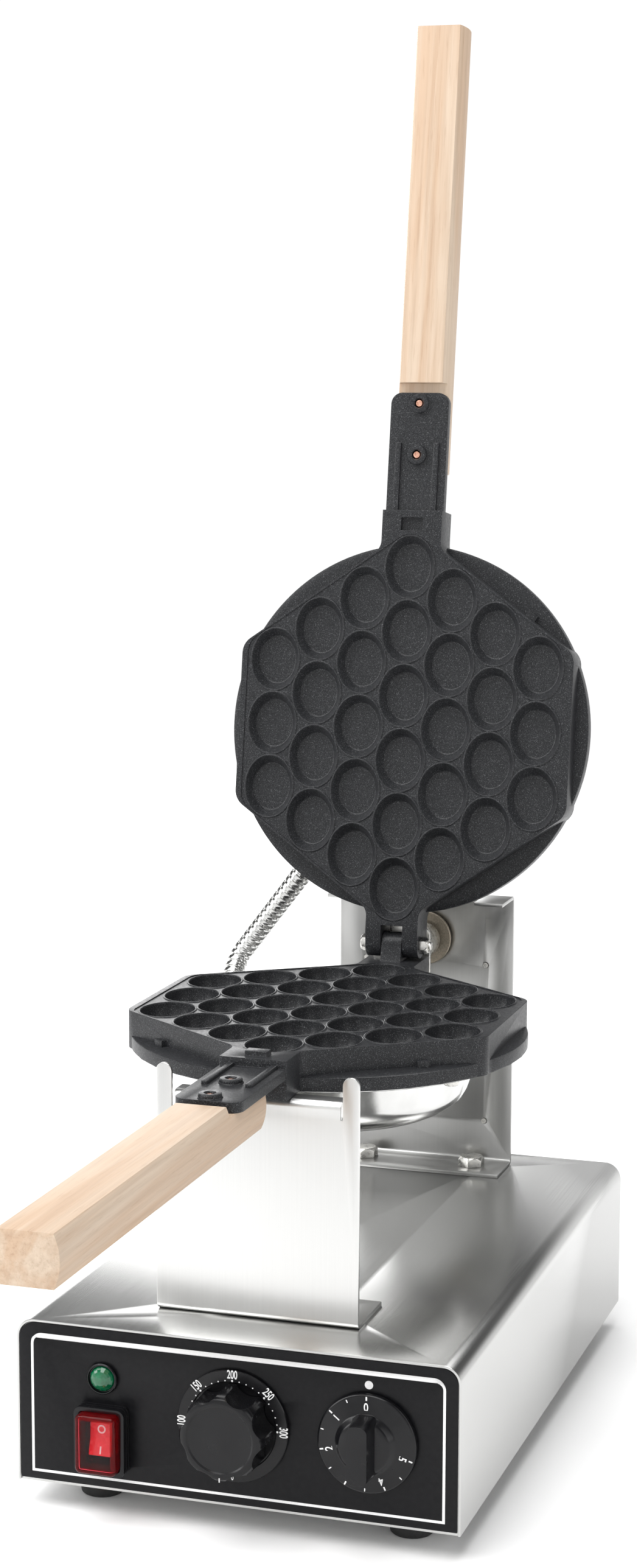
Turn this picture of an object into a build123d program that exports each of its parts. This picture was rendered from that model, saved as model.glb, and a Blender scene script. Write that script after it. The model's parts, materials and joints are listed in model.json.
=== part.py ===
from build123d import *
import math
import os

# A counter-top egg waffle iron. A steel housing on rubber feet carries two folded steel brackets.
# A hinged pair of cast mould plates with wooden handles hangs in a pivot on the rear bracket and
# rests on the shelf of the front bracket. The lid is drawn open, leaning back on its stop.
# Millimetres. X points right, Y points back, Z points up. The origin is on the table, under the
# middle of the housing.

# Round pieces that are hidden or very small are drawn with flat sides, to keep the model light.
small_sides = 8
screw_sides = 6
middling_sides = 12
large_sides = 24
disc_sides = 36
cell_sides = 12

# Housing
housing_width = 217.0
housing_height = 80.0
housing_corner = 9.0
housing_sheet = 1.2
foot_height = 13.0
foot_top_radius = 12.0
foot_bottom_radius = 10.4
foot_inset_x = 31.0
foot_inset_y = 30.0
foot_bolt_radius = 2.0
foot_bolt_head_radius = 4.5
foot_bolt_recess = 7.0
label_thickness = 1.0
label_side_gap = 0.2
label_lift = 1.6
panel_gap = 0.15
panel_flange = 14.0
vent_x = 50.0
vent_length = 40.0
vent_height = 3.0
vent_count = 4
vent_pitch = 7.0

# Brackets
bracket_width = 100.0
bracket_sheet = 2.0
bracket_bend = 2.5
front_bracket_setback = 32.0
rear_bracket_setback = 21.95
front_foot_length = 38.0
prong_width = 8.0
prong_rise = 12.5
shelf_depth = 11.5
shelf_relief = 1.0
shelf_gap = 0.3
block_past_bracket = 5.0
rear_foot_length = 31.0
tab_width = 16.0
tab_depth = 27.0
tab_above_plane = 26.0
bracket_bolt_radius = 4.0
bracket_bolt_flats = 13.0
bracket_bolt_head = 5.3
bracket_bolt_nut = 6.5
bracket_bolt_spread = 62.0

# Mould plates
plane_above_housing = 127.0
pitch_across = 24.4
pitch_along = 34.5
columns_each_side = 3
cells_in_middle_column = 6
cell_past_half_pitch = 0.9
cell_wall = 1.9
bowl_depth = 13.2
bowl_shoulder_depth = 8.6
bowl_shoulder_scale = 0.80
bowl_floor_scale = 0.36
cup_depth = 5.3
cup_floor_scale = 0.78
hexagon_side_margin = 19.0
hexagon_slope_margin = 17.5
hexagon_side_round = 10.0
mould_wall = 12.5
disc_past_last_cell = 12.95
disc_thickness = 6.5
block_past_disc_face = 0.0
block_width = 33.0
block_past_disc = 17.5
neck_width = 29.0
neck_round = 8.0
nub_length = 11.0
nub_width = 6.0
nub_height = 2.4
nub_gap = 0.5
nub_from_block_end = 7.4
side_lug_length = 6.0
side_lug_depth = 3.0
side_lug_height = 4.0
side_lug_offset = 18.0

# Tangs and wooden handles
tang_width = 32.0
tang_drop = 4.0
tang_thickness = 5.0
tang_length = 63.5
tang_round = 6.0
tang_rib_width = 3.0
tang_rib_height = 1.6
tang_rib_length = 36.5
tang_rib_spread = 21.0
boss_radius = 5.2
boss_height = 2.2
boss_first = 30.0
boss_pitch = 27.6
handle_start = 22.0
handle_step_gap = 5.6
handle_length = 239.0
handle_drop = 4.5
handle_thickness = 22.0
handle_flat_width = 23.4
handle_bulge_width = 28.4
handle_screw_radius = 2.2
handle_screw_head_radius = 4.0
handle_screw_head = 2.4
handle_screw_recess = 3.0
screw_gap = 0.15

# Hinge between the two mould plates
pin_above_plane = 8.2
pin_to_first_cell = 29.6
pin_radius = 2.5
pin_running_gap = 0.06
knuckle_radius = 7.0
knuckle_width = 11.6
knuckle_gap = 0.4
slot_length = 10.0
web_front = 9.0
lid_open = 99.0
hinge_hex_flats = 8.0
hinge_head = 3.8
hinge_nut = 4.6
hinge_bolt_tail = 1.4
hinge_side_gap = 0.1

# Turning pivot behind the hinge
pivot_plate_size = 32.0
pivot_plate_thickness = 3.0
pivot_plate_round = 5.0
lug_width = 31.0
stop_gap = 0.3
shaft_radius = 8.0
shaft_wall = 4.0
shaft_running_gap = 0.05
rear_plate_behind_pin = 62.5
bush_wall = 3.0
bush_flange_width = 4.0
bush_flange = 2.4
bush_hole_gap = 0.45
bush_rock_gap = 0.8
shoulder_step = 2.0
shoulder_gap = 0.3
shaft_nut_wall = 3.0
shaft_nut_length = 5.0
shaft_tail = 1.5
pivot_screw_radius = 2.0
pivot_screw_head_radius = 3.4
pivot_screw_head = 1.8
pivot_screw_length = 9.0
pivot_screw_x = 11.0
pivot_screw_drop = 10.5

# Heaters and their covers
cover_from_disc_edge = 2.2
cover_rim_width = 20.6
cover_shoulder_in = 7.4
cover_floor_in = 24.4
cover_shoulder_depth = 23.0
cover_depth = 32.0
cover_sheet = 1.0
cover_nut_count = 6
cover_nut_flats = 7.0
cover_nut_height = 4.4
heater_side_gap = 8.4
heater_inner_radius = 22.0
heater_thickness = 3.0
heater_gap_width = 14.0
strap_length = 90.0
strap_width = 18.0
strap_thickness = 3.0
strap_stud_spread = 30.0
stud_radius = 2.5
stud_nut_flats = 8.0
stud_nut_height = 4.0
bulb_radius = 3.0
bulb_length = 50.0

# Conduit between the two covers
conduit_radius = 6.0
conduit_wall = 1.6
conduit_groove = 0.7
conduit_pitch = 4.0
conduit_sides = 10
conduit_bend = 30.0
conduit_straight = 18.0
gland_angle = 38.0
gland_depth = 16.5
gland_sleeve = 1.6
gland_length = 9.0
gland_inside = 6.0
gland_standoff = 3.0
gland_nut = 5.0

# Cover over the wires behind the rear bracket
wire_cover_width = 60.0
wire_cover_depth = 18.0
wire_cover_sheet = 1.0
wire_cover_above_pivot = 22.0
wire_cover_ear = 9.0
wire_cover_screw_radius = 1.5
wire_cover_screw_head_radius = 2.8
wire_cover_screw_head = 1.6
wire_hole_radius = 8.0

# Controls
control_height = 40.0
thermostat_x = 0.0
timer_x = 65.0
lamp_x = -65.0
lamp_height = 55.0
switch_x = -64.0
switch_height = 26.6
bezel_radius = 27.0
bezel_inner_radius = 22.2
bezel_thickness = 2.2
bezel_web = 0.8
knob_radius = 20.6
knob_waist_radius = 18.4
knob_length = 19.0
knob_lobes = 8
knob_face_gap = 0.6
timer_skirt_radius = 23.6
timer_skirt_rim = 3.0
timer_hub_radius = 14.0
timer_hub_height = 8.0
timer_grip_width = 11.5
timer_grip_length = 29.0
timer_grip_height = 19.0
spindle_radius = 3.0
spindle_gap = 0.06
spindle_engage = 10.0
spindle_inside = 7.0
control_body_radius = 14.0
control_neck_radius = 5.0
thermostat_body_length = 26.0
timer_body_width = 42.0
timer_body_length = 30.0
lamp_bezel_radius = 7.6
lamp_lens_radius = 6.4
lamp_lens_height = 4.6
lamp_body_radius = 5.4
lamp_body_length = 24.0
switch_width = 25.0
switch_tall = 33.0
switch_bezel = 8.0
switch_round = 4.0
switch_body_width = 20.0
switch_body_tall = 27.0
switch_body_length = 26.0
boot_width = 20.6
boot_tall = 28.6
boot_height = 13.5
boot_wall = 1.2
rocker_width = 12.0
rocker_tall = 17.0
rocker_height = 5.0
rocker_tip = 1.0
rocker_heel = 3.0
rocker_heel_half = 2.0
rocker_swing = -10.0
rocker_gap = 0.5
terminal_block_size = (46.0, 22.0, 18.0)
terminal_block_x = 30.0
terminal_block_from_back = 82.0

# Inlet for the mains lead
inlet_x = -70.0
inlet_height = 30.0
inlet_bore_radius = 3.6
inlet_radius = 6.5
inlet_flange_radius = 10.0
inlet_length = 12.0
inlet_flange = 3.0
inlet_nut_flats = 18.0
inlet_nut = 5.0

# Places worked out from the sizes above
floor_z = foot_height
roof_z = foot_height + housing_height
last_cell = (cells_in_middle_column - 1) / 2 * pitch_along
pan_centre = pin_to_first_cell + last_cell
disc_radius = last_cell + disc_past_last_cell
block_past_centre = disc_radius + block_past_disc
block_end = pan_centre + block_past_centre
bracket_spread = block_end - block_past_bracket + rear_plate_behind_pin
housing_depth = front_bracket_setback + bracket_spread + rear_bracket_setback
front_y = -housing_depth / 2
back_y = housing_depth / 2
front_plate_y = front_y + front_bracket_setback
plane_z = roof_z + plane_above_housing
pin_z = plane_z + pin_above_plane
hinge_y = front_plate_y + block_end - block_past_bracket
rear_plate_y = hinge_y + rear_plate_behind_pin
lean = math.radians(lid_open - 90)
disc_back = mould_wall + disc_thickness
block_depth = disc_back + block_past_disc_face
cell_half_width = pitch_across / 2 + cell_past_half_pitch
cell_half_length = (pitch_along - cell_wall) / 2
cover_flange_radius = disc_radius - cover_from_disc_edge
cover_bowl_radius = cover_flange_radius - cover_rim_width
cover_shoulder_radius = cover_bowl_radius - cover_shoulder_in
cover_floor_radius = cover_bowl_radius - cover_floor_in
cover_nut_circle = cover_bowl_radius + cover_rim_width / 2
heater_outer_radius = cover_bowl_radius - heater_side_gap
gland_radius = conduit_radius + gland_sleeve
gland_nut_flats = 2 * gland_radius
bush_radius = shaft_radius + bush_wall
bush_flange_radius = bush_radius + bush_flange_width
shoulder_radius = shaft_radius + shoulder_step

# The open lid's neck meets the top edge of the pivot plate, which is its stop.
half_pivot_plate = pivot_plate_size / 2
neck_past_pin = block_depth - pin_above_plane
stop_reach = (half_pivot_plate - pin_above_plane + neck_past_pin * math.sin(lean)) / math.cos(lean)
pivot_plate_y = stop_reach * math.sin(lean) + neck_past_pin * math.cos(lean) + stop_gap

iron = Location((0, hinge_y, plane_z))
pin_axis = Axis((0, hinge_y, pin_z), (1, 0, 0))


# Helpers
def block(x_span, y_span, z_span):
    """A box between two corners given as spans."""
    size = [high - low for low, high in (x_span, y_span, z_span)]
    middle = [(high + low) / 2 for low, high in (x_span, y_span, z_span)]
    return Pos(*middle) * Box(*size)


def rod(start, direction, radius, length):
    """A cylinder from a start point along a direction."""
    plane = Plane(origin=start, z_dir=direction)
    return plane * Cylinder(radius, length, align=(Align.CENTER, Align.CENTER, Align.MIN))


def hex_prism(start, direction, flats, length):
    """A hexagon nut or head standing on a start point."""
    plane = Plane(origin=start, z_dir=direction)
    face = RegularPolygon(flats / 2, 6, major_radius=False)
    return plane * extrude(face, length)


def sided_rod(start, direction, radius, length, sides=small_sides):
    """A many-sided rod that stays inside the radius."""
    plane = Plane(origin=start, z_dir=direction)
    return plane * extrude(RegularPolygon(radius, sides), length)


def sided_hole(start, direction, radius, length, sides=small_sides):
    """A many-sided hole that stays outside the radius."""
    plane = Plane(origin=start, z_dir=direction)
    return plane * extrude(RegularPolygon(radius, sides, major_radius=False), length)


def sided_tube(start, direction, outer, inner, length, sides=middling_sides):
    """A many-sided ring or sleeve."""
    outside = sided_rod(start, direction, outer, length, sides)
    return outside - sided_hole(start, direction, inner, length, sides)


def ring_points(sides, half_width, half_length, height, middle=(0, 0)):
    """The corners of a many-sided oval at a height."""
    points = []
    for i in range(sides):
        angle = math.radians(360 / sides * i)
        x = middle[0] + half_width * math.cos(angle)
        y = middle[1] + half_length * math.sin(angle)
        points.append((x, y, height))
    return points


def faceted(rings):
    """A closed solid of flat faces through rings of matching corners."""
    faces = [Face(Wire.make_polygon(rings[0])), Face(Wire.make_polygon(rings[-1]))]
    for low, high in zip(rings, rings[1:]):
        for i in range(len(low)):
            j = (i + 1) % len(low)
            faces.append(Face(Wire.make_polygon([low[i], low[j], high[j], high[i]])))
    return Solid(Shell(faces))


def bent_strip(points, width, centre_x=0.0):
    """Folded sheet metal whose middle line runs through points (y, z)."""
    line = FilletPolyline(*points, radius=bracket_bend)
    face = Plane.YZ * trace(line, line_width=bracket_sheet)
    return Pos(centre_x, 0, 0) * extrude(face, width / 2, both=True)


def group(shapes):
    """Several separate solids kept in one node."""
    solids = []
    for shape in shapes:
        solids.extend(shape.solids())
    return Compound(children=solids)


def flip(shape):
    """The closed lid's copy of something made for the lower side."""
    return mirror(shape, about=Plane.XY)


def lower_place(shape):
    return iron * shape


def lid_place(shape):
    """Puts a closed-lid shape in the open pose."""
    return (iron * shape).rotate(pin_axis, -lid_open)


# Housing
inside_x = housing_width / 2 - housing_sheet


def housing_shell():
    """The folded roof and sides: one sheet with two rounded edges."""
    outer = Pos(0, (floor_z + roof_z) / 2) * Rectangle(housing_width, housing_height)
    outer = fillet(outer.vertices().group_by(Axis.Y)[-1], housing_corner)
    inner = Pos(0, (floor_z + roof_z) / 2 - housing_sheet) * Rectangle(2 * inside_x, housing_height)
    inner = fillet(inner.vertices().group_by(Axis.Y)[-1], housing_corner - housing_sheet)
    face = Plane.XZ * (outer - inner)
    shell = Pos(0, back_y, 0) * extrude(face, housing_depth)
    returns = []
    for side in (-1, 1):
        low, high = sorted((side * inside_x, side * (inside_x - panel_flange)))
        span = (front_y + 20.0, back_y - 20.0)
        returns.append(block((low, high), span, (floor_z + housing_sheet, floor_z + 2 * housing_sheet)))
    shell = shell + returns
    holes = []
    for x, y in bracket_bolt_places():
        holes.append(sided_hole((x, y, roof_z - 5), (0, 0, 1), bracket_bolt_radius + screw_gap, 10))
    holes.append(sided_hole((0, wire_hole_y, roof_z - 5), (0, 0, 1), wire_hole_radius, 10))
    return shell - holes


def end_panel_face(gap, bottom):
    """The outline of a panel that fills the open end of the housing shell."""
    width = 2 * (inside_x - gap)
    top = roof_z - housing_sheet - gap
    face = Pos(0, (bottom + top) / 2) * Rectangle(width, top - bottom)
    return fillet(face.vertices().group_by(Axis.Y)[-1], housing_corner - housing_sheet - gap)


def control_holes(y_near, length):
    """The holes through which the controls are fitted."""
    back = (0, 1, 0)
    z = floor_z + control_height
    neck = control_neck_radius + panel_gap
    lamp = (lamp_x, y_near, floor_z + lamp_height)
    holes = [
        sided_hole((thermostat_x, y_near, z), back, neck, length, middling_sides),
        sided_hole((timer_x, y_near, z), back, neck, length, middling_sides),
        sided_hole(lamp, back, lamp_body_radius + panel_gap, length),
    ]
    half_w = switch_body_width / 2 + panel_gap
    half_h = switch_body_tall / 2 + panel_gap
    z = floor_z + switch_height
    span = (y_near, y_near + length)
    holes.append(block((switch_x - half_w, switch_x + half_w), span, (z - half_h, z + half_h)))
    return holes


front_steel_y = front_y + label_thickness
front_inner_y = front_steel_y + housing_sheet


def front_plate():
    """The steel front with a return along its foot."""
    face = Plane.XZ * end_panel_face(panel_gap, floor_z)
    plate = Pos(0, front_inner_y, 0) * extrude(face, housing_sheet)
    half = inside_x - panel_gap
    span_y = (front_steel_y, front_steel_y + panel_flange)
    foot = block((-half, half), span_y, (floor_z, floor_z + housing_sheet))
    return plate + foot - control_holes(front_steel_y - 1, housing_sheet + 2)


def front_label():
    """The black printed plate in front of the steel front."""
    face = Plane.XZ * end_panel_face(panel_gap + label_side_gap, floor_z + label_lift)
    plate = Pos(0, front_steel_y, 0) * extrude(face, label_thickness)
    return plate - control_holes(front_y - 1, label_thickness + 2)


def back_panel():
    """The plain back with louvre slots and the lead's inlet."""
    face = Plane.XZ * end_panel_face(panel_gap, floor_z)
    plate = Pos(0, back_y, 0) * extrude(face, housing_sheet)
    half = inside_x - panel_gap
    foot = block((-half, half), (back_y - panel_flange, back_y), (floor_z, floor_z + housing_sheet))
    start = (inlet_x, back_y - 5, floor_z + inlet_height)
    inlet = sided_hole(start, (0, 1, 0), inlet_radius + panel_gap, 10)
    slots = []
    for i in range(vent_count):
        z = floor_z + control_height + (i - (vent_count - 1) / 2) * vent_pitch
        span_x = (vent_x - vent_length / 2, vent_x + vent_length / 2)
        slots.append(block(span_x, (back_y - 3, back_y + 1), (z - vent_height / 2, z + vent_height / 2)))
    return plate + foot - inlet - slots


def foot_places():
    x = housing_width / 2 - foot_inset_x
    y = housing_depth / 2 - foot_inset_y
    return [(side_x * x, side_y * y) for side_x in (-1, 1) for side_y in (-1, 1)]


def bottom_plate():
    """The flat steel bottom between the returns of the front and the back."""
    half = inside_x - panel_gap
    low_y = front_steel_y + panel_flange + panel_gap
    plate = block((-half, half), (low_y, -low_y), (floor_z, floor_z + housing_sheet))
    holes = []
    for x, y in foot_places():
        start = (x, y, floor_z - 5)
        holes.append(sided_hole(start, (0, 0, 1), foot_bolt_radius + screw_gap, 10, screw_sides))
    return plate - holes


def feet():
    """Tapered rubber feet with a recess for the screw head."""
    made = []
    for place in foot_places():
        low = ring_points(middling_sides, foot_bottom_radius, foot_bottom_radius, 0, place)
        high = ring_points(middling_sides, foot_top_radius, foot_top_radius, foot_height, place)
        foot = faceted([low, high])
        foot -= sided_hole((*place, -1), (0, 0, 1), foot_bolt_head_radius + 1.0, foot_bolt_recess + 1)
        hole = foot_bolt_radius + screw_gap
        foot -= sided_hole((*place, 0), (0, 0, 1), hole, foot_height + 1, screw_sides)
        made.append(foot)
    return group(made)


def foot_screws():
    """Screws up through the feet into the bottom plate."""
    made = []
    for x, y in foot_places():
        head = sided_rod((x, y, foot_bolt_recess - 2.5), (0, 0, 1), foot_bolt_head_radius, 2.5)
        start = (x, y, foot_bolt_recess - 1)
        length = foot_height + housing_sheet + 3.0 - foot_bolt_recess
        made.append(head + sided_rod(start, (0, 0, 1), foot_bolt_radius, length, screw_sides))
    return group(made)


# Brackets
def bracket_bolt_places():
    half = bracket_bolt_spread / 2
    front = front_plate_y + front_foot_length / 2 + bracket_sheet
    rear = rear_plate_y - rear_foot_length / 2 + bracket_sheet
    return [(side * half, y) for y in (front, rear) for side in (-1, 1)]


shelf_z = plane_z - block_depth - shelf_gap
bend_space = 2 * bracket_bend + bracket_sheet


def front_bracket():
    """Foot, upright, a shelf folded back along the top, and a prong each side of it."""
    y = front_plate_y + bracket_sheet / 2
    low = roof_z + bracket_sheet / 2
    high = shelf_z - bracket_sheet / 2
    upright_top = high - bend_space
    foot_end = front_plate_y + front_foot_length
    strip = bent_strip([(foot_end, low), (y, low), (y, upright_top)], bracket_width)
    shelf_width = bracket_width - 2 * prong_width - 2 * shelf_relief
    shelf_end = front_plate_y + shelf_depth
    shelf = bent_strip([(y, upright_top - 1), (y, high), (shelf_end, high)], shelf_width)
    prongs = []
    for side in (-1, 1):
        x = side * (bracket_width - prong_width) / 2
        face = Pos(x, (upright_top - 1 + shelf_z + prong_rise) / 2) * Rectangle(
            prong_width, shelf_z + prong_rise - upright_top + 1
        )
        face = fillet(face.vertices().group_by(Axis.Y)[-1], prong_width / 2 - 0.01)
        prongs.append(Pos(0, front_plate_y + bracket_sheet, 0) * extrude(Plane.XZ * face, bracket_sheet))
    holes = []
    for x, hole_y in bracket_bolt_places()[:2]:
        holes.append(sided_hole((x, hole_y, roof_z - 1), (0, 0, 1), bracket_bolt_radius + screw_gap, 5))
    return strip + shelf + prongs - holes


tab_z = plane_z + tab_above_plane


def rear_bracket():
    """Foot and two top corner tabs, all folded forward from one upright."""
    y = rear_plate_y + bracket_sheet / 2
    low = roof_z + bracket_sheet / 2
    high = tab_z - bracket_sheet / 2
    upright_top = high - bend_space / 2
    foot_end = rear_plate_y + bracket_sheet - rear_foot_length
    strip = bent_strip([(foot_end, low), (y, low), (y, upright_top)], bracket_width)
    tabs = []
    for side in (-1, 1):
        points = [(y, upright_top - 1), (y, high), (rear_plate_y + bracket_sheet - tab_depth, high)]
        tabs.append(bent_strip(points, tab_width, side * (bracket_width - tab_width) / 2))
    start = (0, rear_plate_y - 1, plane_z)
    holes = [sided_hole(start, (0, 1, 0), bush_radius + bush_hole_gap, 5, middling_sides)]
    for x, hole_y in bracket_bolt_places()[2:]:
        holes.append(sided_hole((x, hole_y, roof_z - 1), (0, 0, 1), bracket_bolt_radius + screw_gap, 5))
    for x, z in wire_cover_screw_places():
        start = (x, rear_plate_y - 1, z)
        holes.append(sided_hole(start, (0, 1, 0), wire_cover_screw_radius + screw_gap, 5))
    return strip + tabs - holes


def bracket_bolts():
    """Hexagon bolts that hold both brackets down on the roof."""
    made = []
    for x, y in bracket_bolt_places():
        top = roof_z + bracket_sheet
        low = roof_z - housing_sheet - bracket_bolt_nut - 2.0
        bolt = hex_prism((x, y, top), (0, 0, 1), bracket_bolt_flats, bracket_bolt_head)
        bolt += sided_rod((x, y, low), (0, 0, 1), bracket_bolt_radius, top - low + 1, screw_sides)
        made.append(bolt)
    return group(made)


def bracket_nuts():
    """Nuts under the roof."""
    made = []
    for x, y in bracket_bolt_places():
        start = (x, y, roof_z - housing_sheet)
        nut = hex_prism(start, (0, 0, -1), bracket_bolt_flats, bracket_bolt_nut)
        hole = bracket_bolt_radius + screw_gap
        made.append(nut - sided_hole(start, (0, 0, -1), hole, bracket_bolt_nut, screw_sides))
    return group(made)


# Cover over the wires behind the rear bracket
wire_cover_top = plane_z + wire_cover_above_pivot
wire_cover_y = rear_plate_y + bracket_sheet
wire_hole_y = wire_cover_y + 8.6


def wire_cover_screw_places():
    x = (wire_cover_width + wire_cover_ear) / 2
    return [(side * x, z) for side in (-1, 1) for z in (roof_z + 24.0, wire_cover_top - 36.0)]


def wire_cover():
    """A folded channel, closed at the top and open below over the hole in the roof."""
    half = wire_cover_width / 2
    back = wire_cover_y + wire_cover_depth
    shell = block((-half, half), (wire_cover_y, back), (roof_z, wire_cover_top))
    inner = half - wire_cover_sheet
    inside = (wire_cover_y - 1, back - wire_cover_sheet)
    shell -= block((-inner, inner), inside, (roof_z - 1, wire_cover_top - wire_cover_sheet))
    ears = []
    for side in (-1, 1):
        low, high = sorted((side * (half - wire_cover_sheet), side * (half + wire_cover_ear)))
        span_y = (wire_cover_y, wire_cover_y + wire_cover_sheet)
        ears.append(block((low, high), span_y, (roof_z, wire_cover_top)))
    holes = []
    for x, z in wire_cover_screw_places():
        start = (x, wire_cover_y - 1, z)
        holes.append(sided_hole(start, (0, 1, 0), wire_cover_screw_radius + screw_gap, 4))
    return shell + ears - holes


def wire_cover_screws():
    made = []
    face = wire_cover_y + wire_cover_sheet
    length = wire_cover_sheet + bracket_sheet + 1
    for x, z in wire_cover_screw_places():
        head = sided_rod((x, face, z), (0, 1, 0), wire_cover_screw_head_radius, wire_cover_screw_head)
        start = (x, face + 0.5, z)
        shank = sided_rod(start, (0, -1, 0), wire_cover_screw_radius, length, screw_sides)
        made.append(head + shank)
    return group(made)


# Mould plates, built closed around the foot of the hinge pin on the mating plane.
# Y runs from the pin towards the handle in the minus direction, Z is the depth.
def cell_places():
    """Seven columns of cells, six in the middle one and one fewer in each column outwards."""
    places = []
    for column in range(-columns_each_side, columns_each_side + 1):
        count = cells_in_middle_column - abs(column)
        for row in range(count):
            along = (row - (count - 1) / 2) * pitch_along
            places.append((column * pitch_across, -pan_centre + along))
    return places


def cell(steps):
    """One cell to cut out: ovals of one shape that shrink with depth."""
    rings = []
    for depth, scale in steps:
        half_width, half_length = cell_half_width * scale, cell_half_length * scale
        rings.append(ring_points(cell_sides, half_width, half_length, -depth))
    return faceted(rings)


def bowls():
    """The deep egg-shaped cells of the lower plate: a steep wall and a drawn-in floor."""
    bowl = cell([(0, 1), (bowl_shoulder_depth, bowl_shoulder_scale), (bowl_depth, bowl_floor_scale)])
    return [Pos(x, y, 0) * bowl for x, y in cell_places()]


def cups():
    """The shallow flat-bottomed cells of the upper plate, before it is turned over."""
    cup = cell([(0, 1), (cup_depth, cup_floor_scale)])
    return [Pos(x, y, 0) * cup for x, y in cell_places()]


side_column_x = columns_each_side * pitch_across
side_column_y = last_cell - columns_each_side / 2 * pitch_along
slope_run = math.hypot(last_cell - side_column_y, side_column_x)
slope_normal = ((last_cell - side_column_y) / slope_run, side_column_x / slope_run)
slope_distance = slope_normal[1] * last_cell + hexagon_slope_margin
hexagon_half_width = side_column_x + hexagon_side_margin


def slope_edge(x):
    """How far out the sloped edge lies at a distance x from the middle line."""
    return (slope_distance - slope_normal[0] * x) / slope_normal[1]


def mould_outline(neck_end, rear_width):
    """The stretched hexagon with the handle block at one point and the hinge neck at the other."""
    corner = slope_edge(hexagon_half_width)
    rear_end = pan_centre - neck_end
    half = [
        (block_width / 2, -block_past_centre),
        (block_width / 2, -slope_edge(block_width / 2)),
        (hexagon_half_width, -corner),
        (hexagon_half_width, corner),
        (rear_width / 2, slope_edge(rear_width / 2)),
        (rear_width / 2, rear_end),
    ]
    outline = Polygon(*half, *[(-x, y) for x, y in reversed(half)], align=None)
    sides = outline.vertices().filter_by(lambda v: abs(abs(v.X) - hexagon_half_width) < 0.01)
    outline = fillet(sides, hexagon_side_round)
    inner = [v for v in outline.vertices() if abs(v.X) < block_width and abs(v.Y) < block_past_centre - 1]
    inner = [v for v in inner if abs(v.Y - rear_end) > 0.01]
    outline = fillet(inner, neck_round)
    return Pos(0, -pan_centre) * outline


def side_lugs():
    """Small cast lugs at the foot of the front slopes."""
    made = []
    angle = math.degrees(math.atan2(slope_normal[1], slope_normal[0]))
    for side in (-1, 1):
        turn = -90 + side * (90 - angle)
        foot_x = side * slope_normal[0] * slope_distance
        foot_y = -pan_centre - slope_normal[1] * slope_distance
        middle = Pos(foot_x, foot_y, -mould_wall + side_lug_height / 2) * Rot(0, 0, turn + 90)
        lug = Box(side_lug_length, 2 * side_lug_depth, side_lug_height)
        made.append(middle * Pos(side * side_lug_offset, 0, 0) * lug)
    return made


boss_places = [-(block_end + boss_first + i * boss_pitch) for i in range(2)]


def mould_blank(neck_end, rear_width):
    """What both castings share: the cell block, the round flange, the handle block and the tang."""
    outline = mould_outline(neck_end, rear_width)
    casting = extrude(outline, -block_depth)
    start = (0, -pan_centre, -mould_wall)
    casting += sided_rod(start, (0, 0, -1), disc_radius, disc_thickness, disc_sides)
    casting += side_lugs()
    tang_face = Pos(0, -block_end - tang_length / 2 + 4) * Rectangle(tang_width, tang_length + 8)
    tang_face = fillet(tang_face.vertices().group_by(Axis.Y)[0], tang_round)
    casting += Pos(0, 0, -tang_drop) * extrude(tang_face, -tang_thickness)
    top = -tang_drop + tang_rib_height
    for side in (-1, 1):
        middle = side * tang_rib_spread / 2
        span = (middle - tang_rib_width / 2, middle + tang_rib_width / 2)
        casting += block(span, (-block_end - tang_rib_length, -block_end + 1), (-tang_drop - 1, top))
    for y in boss_places:
        start = (0, y, -tang_drop - 1)
        casting += sided_rod(start, (0, 0, 1), boss_radius, boss_height + 1, middling_sides)
    for y in boss_places:
        start = (0, y, -tang_drop - tang_thickness - 1)
        casting -= sided_hole(start, (0, 0, 1), handle_screw_radius + screw_gap, 20)
    return casting


def nub(gap, low):
    """The locating nub on one handle block, or with a gap the pocket for it in the other."""
    y = nub_from_block_end - block_end
    half_x, half_y = nub_length / 2 + gap, nub_width / 2 + gap
    return block((-half_x, half_x), (y - half_y, y + half_y), (low, nub_height))


def lower_mould_plate():
    """Deep cells, a knuckle standing on the neck, and a lug that takes the pivot plate."""
    casting = mould_blank(web_front, lug_width)
    lug = block((-lug_width / 2, lug_width / 2), (-22.0, pivot_plate_y), (-block_depth, 0))
    half = (knuckle_width - knuckle_gap) / 2
    web_top = pin_above_plane
    radius = knuckle_radius - knuckle_gap
    web = Polygon(
        (-web_front, -2),
        (-web_front, 0),
        (-radius, web_top),
        (pivot_plate_y, web_top),
        (pivot_plate_y, -2),
        align=None,
    )
    casting = casting + lug + extrude(Plane.YZ * web, half, both=True)
    casting += rod((-half, 0, pin_above_plane), (1, 0, 0), radius, 2 * half)
    casting += nub(0, -2.0)
    casting -= rod((-half - 1, 0, pin_above_plane), (1, 0, 0), pin_radius + pin_running_gap, 2 * half + 2)
    for x in (-pivot_screw_x, pivot_screw_x):
        start = (x, pivot_plate_y + 1, -pivot_screw_drop)
        casting -= sided_hole(start, (0, -1, 0), pivot_screw_radius + screw_gap, pivot_screw_length + 1)
    return casting - bowls()


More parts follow.
